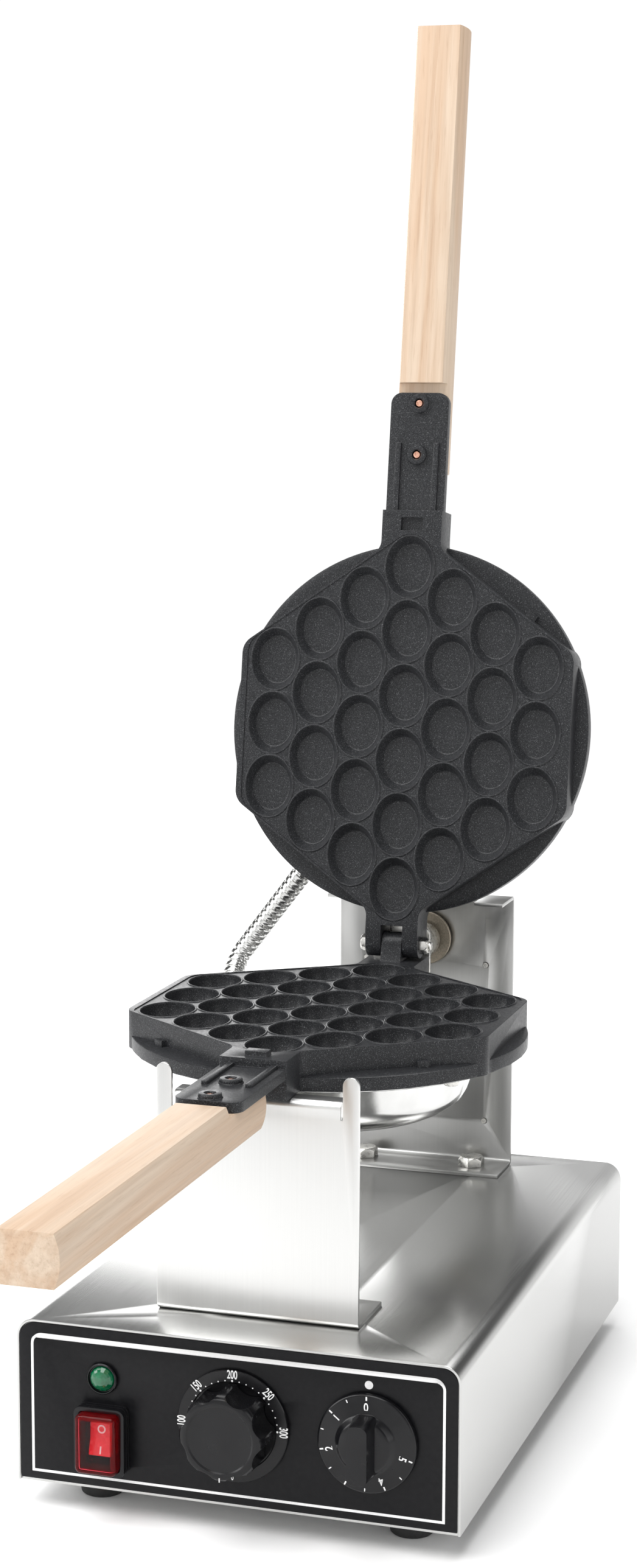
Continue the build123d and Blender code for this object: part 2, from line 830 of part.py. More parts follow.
def upper_mould_plate():
    """Shallow cells and a fork that straddles the lower knuckle, built closed and then opened."""
    casting = flip(mould_blank(knuckle_radius, neck_width) - cups() - nub(nub_gap, -nub_height - nub_gap))
    profile = Polygon(
        (-22.0, 0),
        (-6.0, 0),
        (0, pin_above_plane - knuckle_radius),
        (0, pin_above_plane + knuckle_radius),
        (-3.0, block_depth),
        (-22.0, block_depth),
        align=None,
    )
    fork = extrude(Plane.YZ * profile, neck_width / 2, both=True)
    fork += rod((-neck_width / 2, 0, pin_above_plane), (1, 0, 0), knuckle_radius, neck_width)
    casting = casting + fork
    half = (knuckle_width + knuckle_gap) / 2
    casting -= block((-half, half), (-slot_length, knuckle_radius + 1), (-1, block_depth + 1))
    bore = pin_radius + pin_running_gap
    casting -= rod((-neck_width, 0, pin_above_plane), (1, 0, 0), bore, 2 * neck_width)
    return lid_place(casting)


# Hinge bolt and nut
def hinge_bolt():
    """A long hexagon bolt through fork and knuckle."""
    x = neck_width / 2 + hinge_side_gap
    head = hex_prism((-x, 0, pin_above_plane), (-1, 0, 0), hinge_hex_flats, hinge_head)
    length = 2 * x + hinge_nut + hinge_bolt_tail
    return lid_place(head + rod((-x, 0, pin_above_plane), (1, 0, 0), pin_radius, length))


def hinge_nut_piece():
    x = neck_width / 2 + hinge_side_gap
    start = (x, 0, pin_above_plane)
    nut = hex_prism(start, (1, 0, 0), hinge_hex_flats, hinge_nut)
    return lid_place(nut - sided_hole(start, (1, 0, 0), pin_radius + screw_gap, hinge_nut))


# Wooden handles
def wood_handle():
    """A barrel-sided bar with a rebate for the tang, in the lower side's place."""
    flat, bulge = handle_flat_width / 2, handle_bulge_width / 2
    top, bottom = -handle_drop, -handle_drop - handle_thickness
    middle = (top + bottom) / 2
    section = make_face(
        [
            Line((-flat, top), (flat, top)),
            ThreePointArc((flat, top), (bulge, middle), (flat, bottom)),
            Line((flat, bottom), (-flat, bottom)),
            ThreePointArc((-flat, bottom), (-bulge, middle), (-flat, top)),
        ]
    )
    start = -(block_end + handle_start)
    bar = Pos(0, start, 0) * extrude(Plane.XZ * section, handle_length)
    rebate_end = -(block_end + tang_length + handle_step_gap)
    floor = -tang_drop - tang_thickness
    bar -= block((-20, 20), (rebate_end, start + 1), (floor, top + 1))
    for y in boss_places:
        start = (0, y, bottom - 1)
        head_hole = handle_screw_head_radius + screw_gap
        bar -= sided_hole(start, (0, 0, 1), handle_screw_radius + screw_gap, handle_thickness + 2)
        bar -= sided_hole(start, (0, 0, 1), head_hole, handle_screw_recess + 1)
    return bar


def handle_screws():
    """Screws from the outer side of the wood into the bosses of the tang."""
    made = []
    seat = -handle_drop - handle_thickness + handle_screw_recess
    tip = -tang_drop + boss_height - 1.2
    for y in boss_places:
        head = sided_rod((0, y, seat), (0, 0, -1), handle_screw_head_radius, handle_screw_head)
        start = (0, y, seat - 0.5)
        length = tip - seat + 0.5
        shank = sided_rod(start, (0, 0, 1), handle_screw_radius, length, screw_sides)
        made.append(head + shank)
    return group(made)


# Heaters and covers
def heater_plate():
    """A flat open-ring heater clamped to the back of the round flange."""
    start = (0, -pan_centre, -disc_back)
    outer, inner = heater_outer_radius, heater_inner_radius
    ring = sided_tube(start, (0, 0, -1), outer, inner, heater_thickness, large_sides)
    gap = heater_gap_width / 2
    reach = (-pan_centre - heater_outer_radius - 2, -pan_centre)
    return ring - block((-gap, gap), reach, (-disc_back - heater_thickness - 1, -disc_back + 1))


def strap_studs():
    """Two short studs in the round flange, inside the heater's ring."""
    made = []
    length = heater_thickness + strap_thickness + stud_nut_height + 1.0
    for side in (-1, 1):
        x = side * strap_stud_spread / 2
        start = (x, -pan_centre, -disc_back)
        made.append(sided_rod(start, (0, 0, -1), stud_radius, length, screw_sides))
    return group(made)


def strap():
    """The steel strap that presses the heater flat."""
    top = -disc_back - heater_thickness
    half_x, half_y = strap_length / 2, strap_width / 2
    span_y = (-pan_centre - half_y, -pan_centre + half_y)
    plate = block((-half_x, half_x), span_y, (top - strap_thickness, top))
    for side in (-1, 1):
        start = (side * strap_stud_spread / 2, -pan_centre, top)
        plate -= sided_hole(start, (0, 0, -1), stud_radius + screw_gap, strap_thickness)
    return plate


def strap_nuts():
    made = []
    depth = -disc_back - heater_thickness - strap_thickness
    for side in (-1, 1):
        start = (side * strap_stud_spread / 2, -pan_centre, depth)
        nut = hex_prism(start, (0, 0, -1), stud_nut_flats, stud_nut_height)
        made.append(nut - sided_hole(start, (0, 0, -1), stud_radius + screw_gap, stud_nut_height))
    return group(made)


def gland_line():
    """Direction and depth of the conduit where it leaves a cover's wall."""
    angle = math.radians(90 + gland_angle)
    return (math.cos(angle), math.sin(angle), 0), -disc_back - gland_depth


def along_gland(distance):
    """A point on the gland's line, at a distance from the middle of the pan."""
    outward, depth = gland_line()
    return (outward[0] * distance, -pan_centre + outward[1] * distance, depth)


# The cover's outer radius where the gland goes through it
gland_wall = cover_bowl_radius - cover_shoulder_in * gland_depth / cover_shoulder_depth


def dish(steps):
    """A many-sided dish below the round flange, from radii and depths."""
    rings = []
    for radius, depth in steps:
        rings.append(ring_points(large_sides, radius, radius, -disc_back - depth, (0, -pan_centre)))
    return faceted(rings)


def cover():
    """A pressed steel dish with a flat rim, bolted to the back of the round flange."""
    t = cover_sheet
    outside = dish(
        [
            (cover_bowl_radius, 0),
            (cover_shoulder_radius, cover_shoulder_depth),
            (cover_floor_radius, cover_depth),
        ]
    )
    inside = dish(
        [
            (cover_bowl_radius - t, 0),
            (cover_shoulder_radius - t, cover_shoulder_depth - t * 0.4),
            (cover_floor_radius - t, cover_depth - t),
        ]
    )
    rim = dish([(cover_flange_radius, 0), (cover_flange_radius, t)])
    hole = sided_hole(along_gland(gland_wall - 22), gland_line()[0], gland_radius + screw_gap, 40)
    return outside + rim - inside - hole


def cover_nuts():
    """Nuts on the studs that hold the cover's rim."""
    made = []
    for i in range(cover_nut_count):
        angle = math.radians(360 / cover_nut_count * (i + 0.5))
        x = cover_nut_circle * math.cos(angle)
        y = -pan_centre + cover_nut_circle * math.sin(angle)
        start = (x, y, -disc_back - cover_sheet)
        made.append(hex_prism(start, (0, 0, -1), cover_nut_flats, cover_nut_height))
    return group(made)


def conduit_gland():
    """A gland with its sleeve through the cover's wall and a hexagon outside it."""
    outward = gland_line()[0]
    inner = gland_wall - gland_inside
    hexagon = gland_wall + gland_standoff
    length = gland_inside + gland_standoff + gland_length
    body = sided_rod(along_gland(inner), outward, gland_radius, length)
    body += hex_prism(along_gland(hexagon), outward, gland_nut_flats, gland_nut)
    return body - sided_hole(along_gland(inner - 20), outward, conduit_radius + 0.3, 80)


def placed_point(point, lid):
    """A point of the closed iron, in the housing's frame and in its drawn pose."""
    marker = Pos(*point) * Sphere(0.5)
    placed = lid_place(flip(marker)) if lid else lower_place(marker)
    return placed.center()


def conduit_path():
    """Straight out of each gland, with one wide bend where the two lines come closest."""
    ends, aims = [], []
    for lid in (False, True):
        near = placed_point(along_gland(gland_wall - 2.0), lid)
        far = placed_point(along_gland(gland_wall + 98.0), lid)
        ends.append(near)
        aims.append((far - near).normalized())
    apart = ends[1] - ends[0]
    turn = aims[0].dot(aims[1])
    spread = 1 - turn * turn
    first = (apart.dot(aims[0]) - apart.dot(aims[1]) * turn) / spread
    second = (apart.dot(aims[0]) * turn - apart.dot(aims[1])) / spread
    corner = (ends[0] + aims[0] * first + ends[1] + aims[1] * second) * 0.5
    straight = [end + aim * conduit_straight for end, aim in zip(ends, aims)]
    points = [ends[0], straight[0], corner, straight[1], ends[1]]
    return FilletPolyline(*points, radius=3 * [conduit_bend])


def conduit():
    """The banded metal conduit: rings from groove to crown along its route, and back along its bore."""
    path = conduit_path()
    bands = 2 * round(path.length / conduit_pitch / 2)

    def ring(share, radius):
        plane = Plane(origin=path @ share, x_dir=(1, 0, 0), z_dir=path % share)
        corners = ring_points(conduit_sides, radius, radius, 0)
        return [plane.from_local_coords(Vector(*corner)) for corner in corners]

    rings = []
    for i in range(2 * bands + 1):
        depth = 0 if i % 2 else conduit_groove
        rings.append(ring(i / (2 * bands), conduit_radius - depth))
    steps = bands // 3
    for i in range(steps + 1):
        rings.append(ring(1 - i / steps, conduit_radius - conduit_wall))
    faces = []
    for near, far in zip(rings, rings[1:] + rings[:1]):
        for i in range(conduit_sides):
            j = (i + 1) % conduit_sides
            faces.append(Face(Wire.make_polygon([near[i], near[j], far[j]])))
            faces.append(Face(Wire.make_polygon([near[i], far[j], far[i]])))
    return Solid(Shell(faces))


# Pivot
bush_front_y = rear_plate_y - bush_rock_gap - bush_flange
bush_rear_y = rear_plate_y + bracket_sheet + bush_rock_gap
shoulder_y = bush_front_y - shoulder_gap
shaft_nut_y = bush_rear_y + bush_flange + shoulder_gap
shaft_end_y = shaft_nut_y + shaft_nut_length + shaft_tail
pivot_back = (0, 1, 0)


def pivot_bush():
    """A loose flanged bush in the rear bracket, free to rock when the iron is lifted."""
    start = (0, bush_front_y, plane_z)
    length = bush_rear_y - bush_front_y
    sleeve = sided_rod(start, pivot_back, bush_radius, length, middling_sides)
    sleeve += sided_rod(start, pivot_back, bush_flange_radius, bush_flange, middling_sides)
    return sleeve - rod(start, pivot_back, shaft_radius + shaft_running_gap, length)


def bush_ring():
    """The ring pressed on the back end of the bush."""
    start = (0, bush_rear_y, plane_z)
    return sided_tube(start, pivot_back, bush_flange_radius, shaft_radius + shoulder_gap, bush_flange)


def pivot_shaft():
    """A square plate screwed to the lower casting, with a stepped hollow shaft welded on its back."""
    face = Pos(0, plane_z) * RectangleRounded(pivot_plate_size, pivot_plate_size, pivot_plate_round)
    near = hinge_y + pivot_plate_y
    plate = Pos(0, near + pivot_plate_thickness, 0) * extrude(Plane.XZ * face, pivot_plate_thickness)
    start = (0, near + 1, plane_z)
    thick = sided_rod(start, pivot_back, shoulder_radius, shoulder_y - near - 1, middling_sides)
    thin = rod(start, pivot_back, shaft_radius, shaft_end_y - near - 1)
    piece = plate + thick + thin
    piece -= sided_hole((0, near - 1, plane_z), pivot_back, shaft_radius - shaft_wall, 100)
    for x in (-pivot_screw_x, pivot_screw_x):
        start = (x, near - 1, plane_z - pivot_screw_drop)
        piece -= sided_hole(start, pivot_back, pivot_screw_radius + screw_gap, 10)
    return piece


def pivot_screws():
    made = []
    face = hinge_y + pivot_plate_y + pivot_plate_thickness
    length = pivot_plate_thickness + pivot_screw_length - 1
    for x in (-pivot_screw_x, pivot_screw_x):
        z = plane_z - pivot_screw_drop
        head = sided_rod((x, face, z), pivot_back, pivot_screw_head_radius, pivot_screw_head)
        start = (x, face + 0.5, z)
        shank = sided_rod(start, (0, -1, 0), pivot_screw_radius, length, screw_sides)
        made.append(head + shank)
    return group(made)


def shaft_nut():
    """The nut that keeps the shaft in the bush."""
    start = (0, shaft_nut_y, plane_z)
    nut = hex_prism(start, pivot_back, 2 * (shaft_radius + shaft_nut_wall), shaft_nut_length)
    hole = shaft_radius + screw_gap
    return nut - sided_hole(start, pivot_back, hole, shaft_nut_length, middling_sides)


# Controls
def thermostat_bezel():
    """The fixed scale ring round the thermostat's knob, on a thin web."""
    z = floor_z + control_height
    start = (thermostat_x, front_y, z)
    disc = sided_rod(start, (0, -1, 0), bezel_radius, bezel_thickness, large_sides)
    well = (thermostat_x, front_y - bezel_web, z)
    disc -= sided_hole(well, (0, -1, 0), bezel_inner_radius, 5, large_sides)
    neck = control_neck_radius + panel_gap
    return disc - sided_hole(start, (0, -1, 0), neck, 5, middling_sides)


def lobed_face():
    """A ring of rounded lobes with shallow finger hollows between them, in short straight sides."""
    points = []
    steps = 6 * knob_lobes
    middle = (knob_radius + knob_waist_radius) / 2
    for i in range(steps):
        angle = 2 * math.pi / steps * i
        radius = middle + (knob_radius - middle) * math.cos(knob_lobes * angle)
        points.append((radius * math.cos(angle), radius * math.sin(angle)))
    return Polygon(*points, align=None)


def spindle_hole(x, z, near, depth):
    return sided_hole((x, near, z), (0, -1, 0), spindle_radius + screw_gap, depth)


def thermostat_knob():
    """A lobed knob."""
    z = floor_z + control_height
    near = front_y - bezel_web - knob_face_gap
    plane = Plane(origin=(thermostat_x, near, z), x_dir=(1, 0, 0), z_dir=(0, -1, 0))
    knob = plane * extrude(lobed_face(), knob_length)
    return knob - spindle_hole(thermostat_x, z, near, spindle_engage)


def timer_knob():
    """A numbered skirt with a bar grip on a low hub."""
    z = floor_z + control_height
    near = front_y - knob_face_gap
    start = (timer_x, near, z)
    knob = sided_rod(start, (0, -1, 0), timer_skirt_radius, timer_skirt_rim, large_sides)
    knob += sided_rod(start, (0, -1, 0), timer_hub_radius, timer_hub_height, middling_sides)
    half_w, half_l = timer_grip_width / 2, timer_grip_length / 2
    span_x = (timer_x - half_w, timer_x + half_w)
    grip = block(span_x, (near - timer_grip_height, near - 2), (z - half_l, z + half_l))
    return knob + grip - spindle_hole(timer_x, z, near, spindle_engage)


def spindle(x, near):
    """A control's spindle, from inside the body out into the knob."""
    z = floor_z + control_height
    length = spindle_engage - 1 + front_inner_y - near + spindle_inside
    return rod((x, near - spindle_engage + 1, z), (0, 1, 0), spindle_radius, length)


def thermostat_spindle():
    return spindle(thermostat_x, front_y - bezel_web - knob_face_gap)


def timer_spindle():
    return spindle(timer_x, front_y - knob_face_gap)


def spindle_bore(x):
    z = floor_z + control_height
    return rod((x, front_y - 2, z), (0, 1, 0), spindle_radius + spindle_gap, 17)


def thermostat_body():
    """The round control body with its threaded neck through the front."""
    z = floor_z + control_height
    start = (thermostat_x, front_inner_y, z)
    body = sided_rod(start, (0, 1, 0), control_body_radius, thermostat_body_length, middling_sides)
    neck = sided_rod((thermostat_x, front_y - 0.4, z), (0, 1, 0), control_neck_radius, 5, middling_sides)
    terminals = []
    back = front_inner_y + thermostat_body_length
    for side in (-1, 1):
        x = thermostat_x + side * 6
        terminals.append(block((x - 3, x + 3), (back - 1, back + 8), (z - 0.4, z + 0.4)))
    return body + neck + terminals - spindle_bore(thermostat_x)


def timer_body():
    """The clockwork's case with its neck through the front."""
    z = floor_z + control_height
    half = timer_body_width / 2
    span_x = (timer_x - half, timer_x + half)
    span_y = (front_inner_y, front_inner_y + timer_body_length)
    body = block(span_x, span_y, (z - half + 4, z + half - 4))
    neck = sided_rod((timer_x, front_y - 0.4, z), (0, 1, 0), control_neck_radius, 5, middling_sides)
    start = (timer_x, front_inner_y + timer_body_length - 1, z)
    return body + neck + sided_rod(start, (0, 1, 0), 15.0, 7.0, middling_sides) - spindle_bore(timer_x)


def lamp_body():
    """The black lamp holder: a round rim in front and a barrel behind."""
    z = floor_z + lamp_height
    ahead = (0, -1, 0)
    rim = sided_rod((lamp_x, front_y, z), ahead, lamp_bezel_radius, 1.8, middling_sides)
    rim -= sided_hole((lamp_x, front_y - 0.6, z), ahead, lamp_lens_radius + panel_gap, 5, middling_sides)
    return rim + sided_rod((lamp_x, front_y - 0.3, z), (0, 1, 0), lamp_body_radius, lamp_body_length)


def lamp_lens():
    """The green lens, a low dome of flats."""
    rings = []
    for height, scale in ((0.0, 1.0), (0.7, 0.9), (1.0, 0.6)):
        radius = lamp_lens_radius * scale
        rings.append(ring_points(middling_sides, radius, radius, lamp_lens_height * height))
    return Plane(origin=(lamp_x, front_y - 0.6, floor_z + lamp_height), z_dir=(0, -1, 0)) * faceted(rings)


def switch_body():
    """The switch's bezel and body, with the well that the rocker sits in."""
    z = floor_z + switch_height
    plane = Plane(origin=(switch_x, front_y, z), x_dir=(1, 0, 0), z_dir=(0, -1, 0))
    bezel = plane * extrude(RectangleRounded(switch_width, switch_tall, switch_round), switch_bezel)
    inner = Rectangle(boot_width + 2 * panel_gap, boot_tall + 2 * panel_gap)
    bezel -= plane.offset(2.0) * extrude(inner, switch_bezel)
    half_w, half_h = switch_body_width / 2, switch_body_tall / 2
    span = (front_y - 1, front_y + switch_body_length)
    body = block((switch_x - half_w, switch_x + half_w), span, (z - half_h, z + half_h))
    well_w = rocker_width / 2 + rocker_gap
    well_h = rocker_tall / 2 + 2.5
    span_x = (switch_x - well_w, switch_x + well_w)
    well = block(span_x, (front_y - 3, front_y + 9), (z - well_h, z + well_h))
    return bezel + body - well


def splash_boot():
    """The clear red boot over the rocker: a hollow cap held in the bezel."""
    z = floor_z + switch_height
    plane = Plane(origin=(switch_x, front_y - 2.0, z), x_dir=(1, 0, 0), z_dir=(0, -1, 0))
    cap = plane * extrude(RectangleRounded(boot_width, boot_tall, 2.5), boot_height - 2.0)
    hollow_w, hollow_h = boot_width - 2 * boot_wall, boot_tall - 2 * boot_wall
    hollow = Rectangle(hollow_w, hollow_h)
    return cap - plane.offset(-1) * extrude(hollow, boot_height - 1.0 - boot_wall)


rocker_pivot_y = front_y + 1.0


def rocker():
    """The lit rocker, drawn tipped to its off side: a shallow V face on a half-round back."""
    z = floor_z + switch_height
    half_h = rocker_tall / 2
    face_y = rocker_pivot_y - rocker_height
    low = (rocker_pivot_y + rocker_heel, rocker_heel_half - half_h)
    high = (low[0], -low[1])
    back = (rocker_pivot_y + math.hypot(rocker_heel, low[1]), 0)
    outline = [
        Polyline(low, (face_y - rocker_tip, -half_h), (face_y, 0), (face_y - rocker_tip, half_h), high),
        ThreePointArc(high, back, low),
    ]
    bar = Pos(switch_x, 0, z) * extrude(Plane.YZ * make_face(outline), rocker_width / 2, both=True)
    return bar.rotate(Axis((switch_x, rocker_pivot_y, z), (1, 0, 0)), rocker_swing)


def terminal_block():
    """The screw terminal block on the bottom plate, behind the controls."""
    width, depth, height = terminal_block_size
    x, y = terminal_block_x, back_y - terminal_block_from_back
    base = floor_z + housing_sheet
    span_x, span_y = (x - width / 2, x + width / 2), (y - depth / 2, y + depth / 2)
    piece = block(span_x, span_y, (base, base + height))
    for i in range(3):
        start = (x + (i - 1) * 14.0, y, base + height + 1)
        piece -= sided_hole(start, (0, 0, -1), 3.0, 8.0)
    return piece


def bulb():
    """The thermostat's sensing bulb, lying on the heater beside the strap."""
    z = -disc_back - heater_thickness - bulb_radius
    start = (-bulb_length / 2, -pan_centre + strap_width / 2 + bulb_radius + 0.3, z)
    return sided_rod(start, (1, 0, 0), bulb_radius, bulb_length)


def cable_inlet():
    """The nylon bush in the back panel that the mains lead goes through."""
    z = floor_z + inlet_height
    back = (0, 1, 0)
    start = (inlet_x, back_y, z)
    piece = sided_rod(start, back, inlet_flange_radius, inlet_flange, middling_sides)
    inner = back_y - housing_sheet - inlet_nut - 1
    piece += sided_rod((inlet_x, inner, z), back, inlet_radius, inlet_length + back_y - inner)
    return piece - rod((inlet_x, inner - 1, z), back, inlet_bore_radius, 60)


def cable_inlet_nut():
    start = (inlet_x, back_y - housing_sheet, floor_z + inlet_height)
    nut = hex_prism(start, (0, -1, 0), inlet_nut_flats, inlet_nut)
    return nut - sided_hole(start, (0, -1, 0), inlet_radius + screw_gap, inlet_nut)


nodes = {
    "housing_shell": housing_shell(),
    "front_plate": front_plate(),
    "front_label": front_label(),
    "back_panel": back_panel(),
    "bottom_plate": bottom_plate(),
    "feet": feet(),
    "foot_screws": foot_screws(),
    "front_bracket": front_bracket(),
    "rear_bracket": rear_bracket(),
    "bracket_bolts": bracket_bolts(),
    "bracket_nuts": bracket_nuts(),
    "wire_cover": wire_cover(),
    "wire_cover_screws": wire_cover_screws(),
    "cable_inlet": cable_inlet(),
    "cable_inlet_nut": cable_inlet_nut(),
    "thermostat_bezel": thermostat_bezel(),
    "thermostat_body": thermostat_body(),
    "thermostat_spindle": thermostat_spindle(),
    "thermostat_knob": thermostat_knob(),
    "timer_body": timer_body(),
    "timer_spindle": timer_spindle(),
    "timer_knob": timer_knob(),
    "lamp_body": lamp_body(),
    "lamp_lens": lamp_lens(),
    "switch_body": switch_body(),
    "splash_boot": splash_boot(),
    "rocker": rocker(),
    "terminal_block": terminal_block(),
    "pivot_bush": pivot_bush(),
    "bush_ring": bush_ring(),
    "pivot_shaft": pivot_shaft(),
    "pivot_screws": pivot_screws(),
    "shaft_nut": shaft_nut(),
    "lower_mould_plate": lower_place(lower_mould_plate()),
    "upper_mould_plate": upper_mould_plate(),
    "hinge_bolt": hinge_bolt(),
    "hinge_nut": hinge_nut_piece(),
    "lower_handle": lower_place(wood_handle()),
    "upper_handle": lid_place(flip(wood_handle())),
    "lower_handle_screws": lower_place(handle_screws()),
    "upper_handle_screws": lid_place(flip(handle_screws())),
    "lower_heater": lower_place(heater_plate()),
    "upper_heater": lid_place(flip(heater_plate())),
    "lower_heater_strap": lower_place(strap()),
    "upper_heater_strap": lid_place(flip(strap())),
    "lower_strap_studs": lower_place(strap_studs()),
    "upper_strap_studs": lid_place(flip(strap_studs())),
    "lower_strap_nuts": lower_place(strap_nuts()),
    "upper_strap_nuts": lid_place(flip(strap_nuts())),
    "thermostat_bulb": lower_place(bulb()),
    "lower_cover": lower_place(cover()),
    "upper_cover": lid_place(flip(cover())),
    "lower_cover_nuts": lower_place(cover_nuts()),
    "upper_cover_nuts": lid_place(flip(cover_nuts())),
    "lower_conduit_gland": lower_place(conduit_gland()),
    "upper_conduit_gland": lid_place(flip(conduit_gland())),
    "conduit": conduit(),
}

os.makedirs("parts", exist_ok=True)
for name, shape in nodes.items():
    export_step(shape, f"parts/{name}.step")
print("nodes", len(nodes))
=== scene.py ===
# %% [markdown]
# # An egg waffle iron in steel, cast aluminium and wood
# A steel housing with two dials and a switch carries two folded brackets. A hinged pair of black
# cast mould plates with pale wooden handles hangs in them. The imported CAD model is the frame:
# every piece below sits where its CAD node sits, and only gives it rounder edges and a finish.

# %% Load the frame
import math
import bpy
from mathutils import Matrix, Vector
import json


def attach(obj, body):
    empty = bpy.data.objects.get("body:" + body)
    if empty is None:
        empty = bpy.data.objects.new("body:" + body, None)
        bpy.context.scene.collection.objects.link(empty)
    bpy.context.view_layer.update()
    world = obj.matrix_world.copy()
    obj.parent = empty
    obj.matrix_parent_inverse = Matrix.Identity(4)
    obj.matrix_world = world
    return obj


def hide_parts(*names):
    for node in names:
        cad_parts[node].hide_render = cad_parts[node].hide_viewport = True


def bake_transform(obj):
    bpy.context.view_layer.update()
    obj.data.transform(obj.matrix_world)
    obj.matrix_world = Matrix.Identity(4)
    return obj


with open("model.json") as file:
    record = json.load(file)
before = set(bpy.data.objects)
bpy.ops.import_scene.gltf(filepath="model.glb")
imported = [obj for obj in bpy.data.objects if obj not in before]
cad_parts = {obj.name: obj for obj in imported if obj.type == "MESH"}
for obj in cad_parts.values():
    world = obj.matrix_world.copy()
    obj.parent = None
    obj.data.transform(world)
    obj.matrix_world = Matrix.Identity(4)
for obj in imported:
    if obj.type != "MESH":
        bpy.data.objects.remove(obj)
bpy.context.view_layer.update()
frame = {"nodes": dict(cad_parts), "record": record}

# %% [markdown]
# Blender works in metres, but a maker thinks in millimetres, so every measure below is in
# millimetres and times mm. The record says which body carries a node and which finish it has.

mm = 0.001
nodes = frame["nodes"]
record = frame["record"]
body_of = {name: body for body, names in record["behaviour"]["bodies"].items() for name in names}
slot_of = {row["node"]: row["material_slot"] for row in record["subparts"]}

# %% [markdown]
# The camera stands in front of the iron, a little to its right and above the housing, with a long
# lens. It is set first, because every look at the picture depends on it.

# %% Camera
view_data = bpy.data.cameras.new("photo_view")
view_data.lens, view_data.sensor_width = 65.544, 36.0
view_data.clip_start, view_data.clip_end = 0.05, 400.0
camera = bpy.data.objects.new("photo_view", view_data)
camera.location = (0.42193, -1.35776, 0.54094)
camera.rotation_euler = [math.radians(a) for a in (81.46, -0.1491, 17.8657)]
bpy.context.scene.collection.objects.link(camera)
bpy.context.scene.camera = camera
print("camera at", tuple(round(v, 3) for v in camera.location))

# %% [markdown]
# ## Finishes
# Each finish is one material of a few nodes. A pattern is a noise read in object coordinates, so it
# stays on the piece when the iron turns. Stretching the noise makes brushed lines or wood fibres,
# and a fine noise makes a cast skin. The same noise drives colour, roughness and bump, because a
# worn or rough spot is also a little duller.

# %% Helpers for nodes
def add_node(owner, kind, inputs=(), **settings):
    """Adds a shader node to a material or the world, and sets its inputs by name."""
    node = owner.node_tree.nodes.new("ShaderNode" + kind)
    for key, value in settings.items():
        setattr(node, key, value)
    for key, value in dict(inputs).items():
        node.inputs[key].default_value = value
    return node


def wire(owner, source, output, target, socket):
    owner.node_tree.links.new(source.outputs[output], target.inputs[socket])


def pattern(material, stretch, detail=4.0, rough=0.55):
    """A noise on object coordinates: stretch is how many grains lie in a metre each way."""
    where = add_node(material, "TexCoord")
    grain = add_node(material, "Mapping", {"Scale": stretch})
    noise = add_node(material, "TexNoise", {"Scale": 1.0, "Detail": detail, "Roughness": rough})
    wire(material, where, "Object", grain, "Vector")
    wire(material, grain, "Vector", noise, "Vector")
    return noise


def shades(material, source, stops):
    """A colour ramp over a noise, from (place, colour) stops."""
    ramp = add_node(material, "ValToRGB")
    points = ramp.color_ramp.elements
    while len(points) < len(stops):
        points.new(0.5)
    for point, (where, colour) in zip(points, stops):
        point.position, point.color = where, (*colour, 1.0)
    wire(material, source, "Fac", ramp, "Fac")
    return ramp


def span(material, source, low, high):
    """Spreads a noise over a range, for roughness."""
    ranged = add_node(material, "MapRange", {"From Min": 0.3, "From Max": 0.7,
                                             "To Min": low, "To Max": high})
    wire(material, source, "Fac", ranged, "Value")
    return ranged


def bare_material(name):
    """A new material and its shader."""
    material = bpy.data.materials.new(name)
    material.use_nodes = True
    return material, material.node_tree.nodes["Principled BSDF"]


def raised(material, source, strength, depth):
    """A bump from a noise: strength is how much of it shows, depth its height in metres."""
    lift = add_node(material, "Bump", {"Strength": strength, "Distance": depth})
    wire(material, source, "Fac", lift, "Height")
    return lift


# %% One finish from one noise
def finish(name, stops, rough, stretch, bump=0.05, depth=0.00005, metallic=0.0, **shader_values):
    """A finish whose colour, roughness and bump come from one noise."""
    material, shader = bare_material(name)
    shader.inputs["Metallic"].default_value = metallic
    for key, value in shader_values.items():
        shader.inputs[key.replace("_", " ")].default_value = value
    noise = pattern(material, stretch)
    wire(material, shades(material, noise, stops), "Color", shader, "Base Color")
    wire(material, span(material, noise, *rough), "Result", shader, "Roughness")
    wire(material, raised(material, noise, bump, depth), "Normal", shader, "Normal")
    return material


def tones(dark, light):
    """Two stops of a colour ramp, a little inside the noise's range."""
    return [(0.3, dark), (0.7, light)]


# %% [markdown]
# The housing and brackets are stainless sheet with fine lines from the brush, so the noise is
# stretched hard along the sheet. The brackets are the same sheet with its lines upright, made in a
# lit and a shaded copy: the front one's grey is raised as painted light, and the rear one's and the
# wire cover's grey is lowered as painted shade. An anisotropic shader would smear the lights as
# brushing does, but it needs a tangent on every sheet, and a stretched noise doesn't. The covers are
# pressed and polished, so theirs is a broad soft noise that barely clouds the shine.

# %% Brushed and polished steel
def grey(value):
    """A metal's grey, a little warm."""
    return (value, value, value * 0.985)


def brushed(name, dark, rough, stretch, bump):
    """Brushed sheet in three close greys, from the darkest one on."""
    stops = [(0.25 + 0.25 * i, grey(dark + 0.015 * i)) for i in range(3)]
    return finish(name, stops, rough, stretch, bump, depth=0.00002, metallic=1.0)


lines_along, lines_upright = (1700, 14, 1700), (1700, 1700, 14)
steel = brushed("brushed_steel", 0.545, (0.22, 0.27), lines_along, 0.008)
# The same sheet steel twice: a lighter copy with painted light for the front bracket, and a darker
# copy with painted shade for the rear bracket and wire cover.
steel_painted_light = brushed("brushed_steel_painted_light", 0.68, (0.28, 0.33), lines_upright, 0.003)
steel_painted_shade = brushed("brushed_steel_painted_shade", 0.44, (0.28, 0.33), lines_upright, 0.003)
polished = finish("polished_steel", tones(grey(0.66), grey(0.80)), (0.07, 0.17), (45, 45, 45),
                  bump=0.03, metallic=1.0)
banded = finish("banded_steel", tones(grey(0.62), grey(0.82)), (0.10, 0.24), (300, 300, 300),
                bump=0.05, metallic=1.0)
print("made", [m.name for m in (steel, steel_painted_light, steel_painted_shade, polished, banded)])

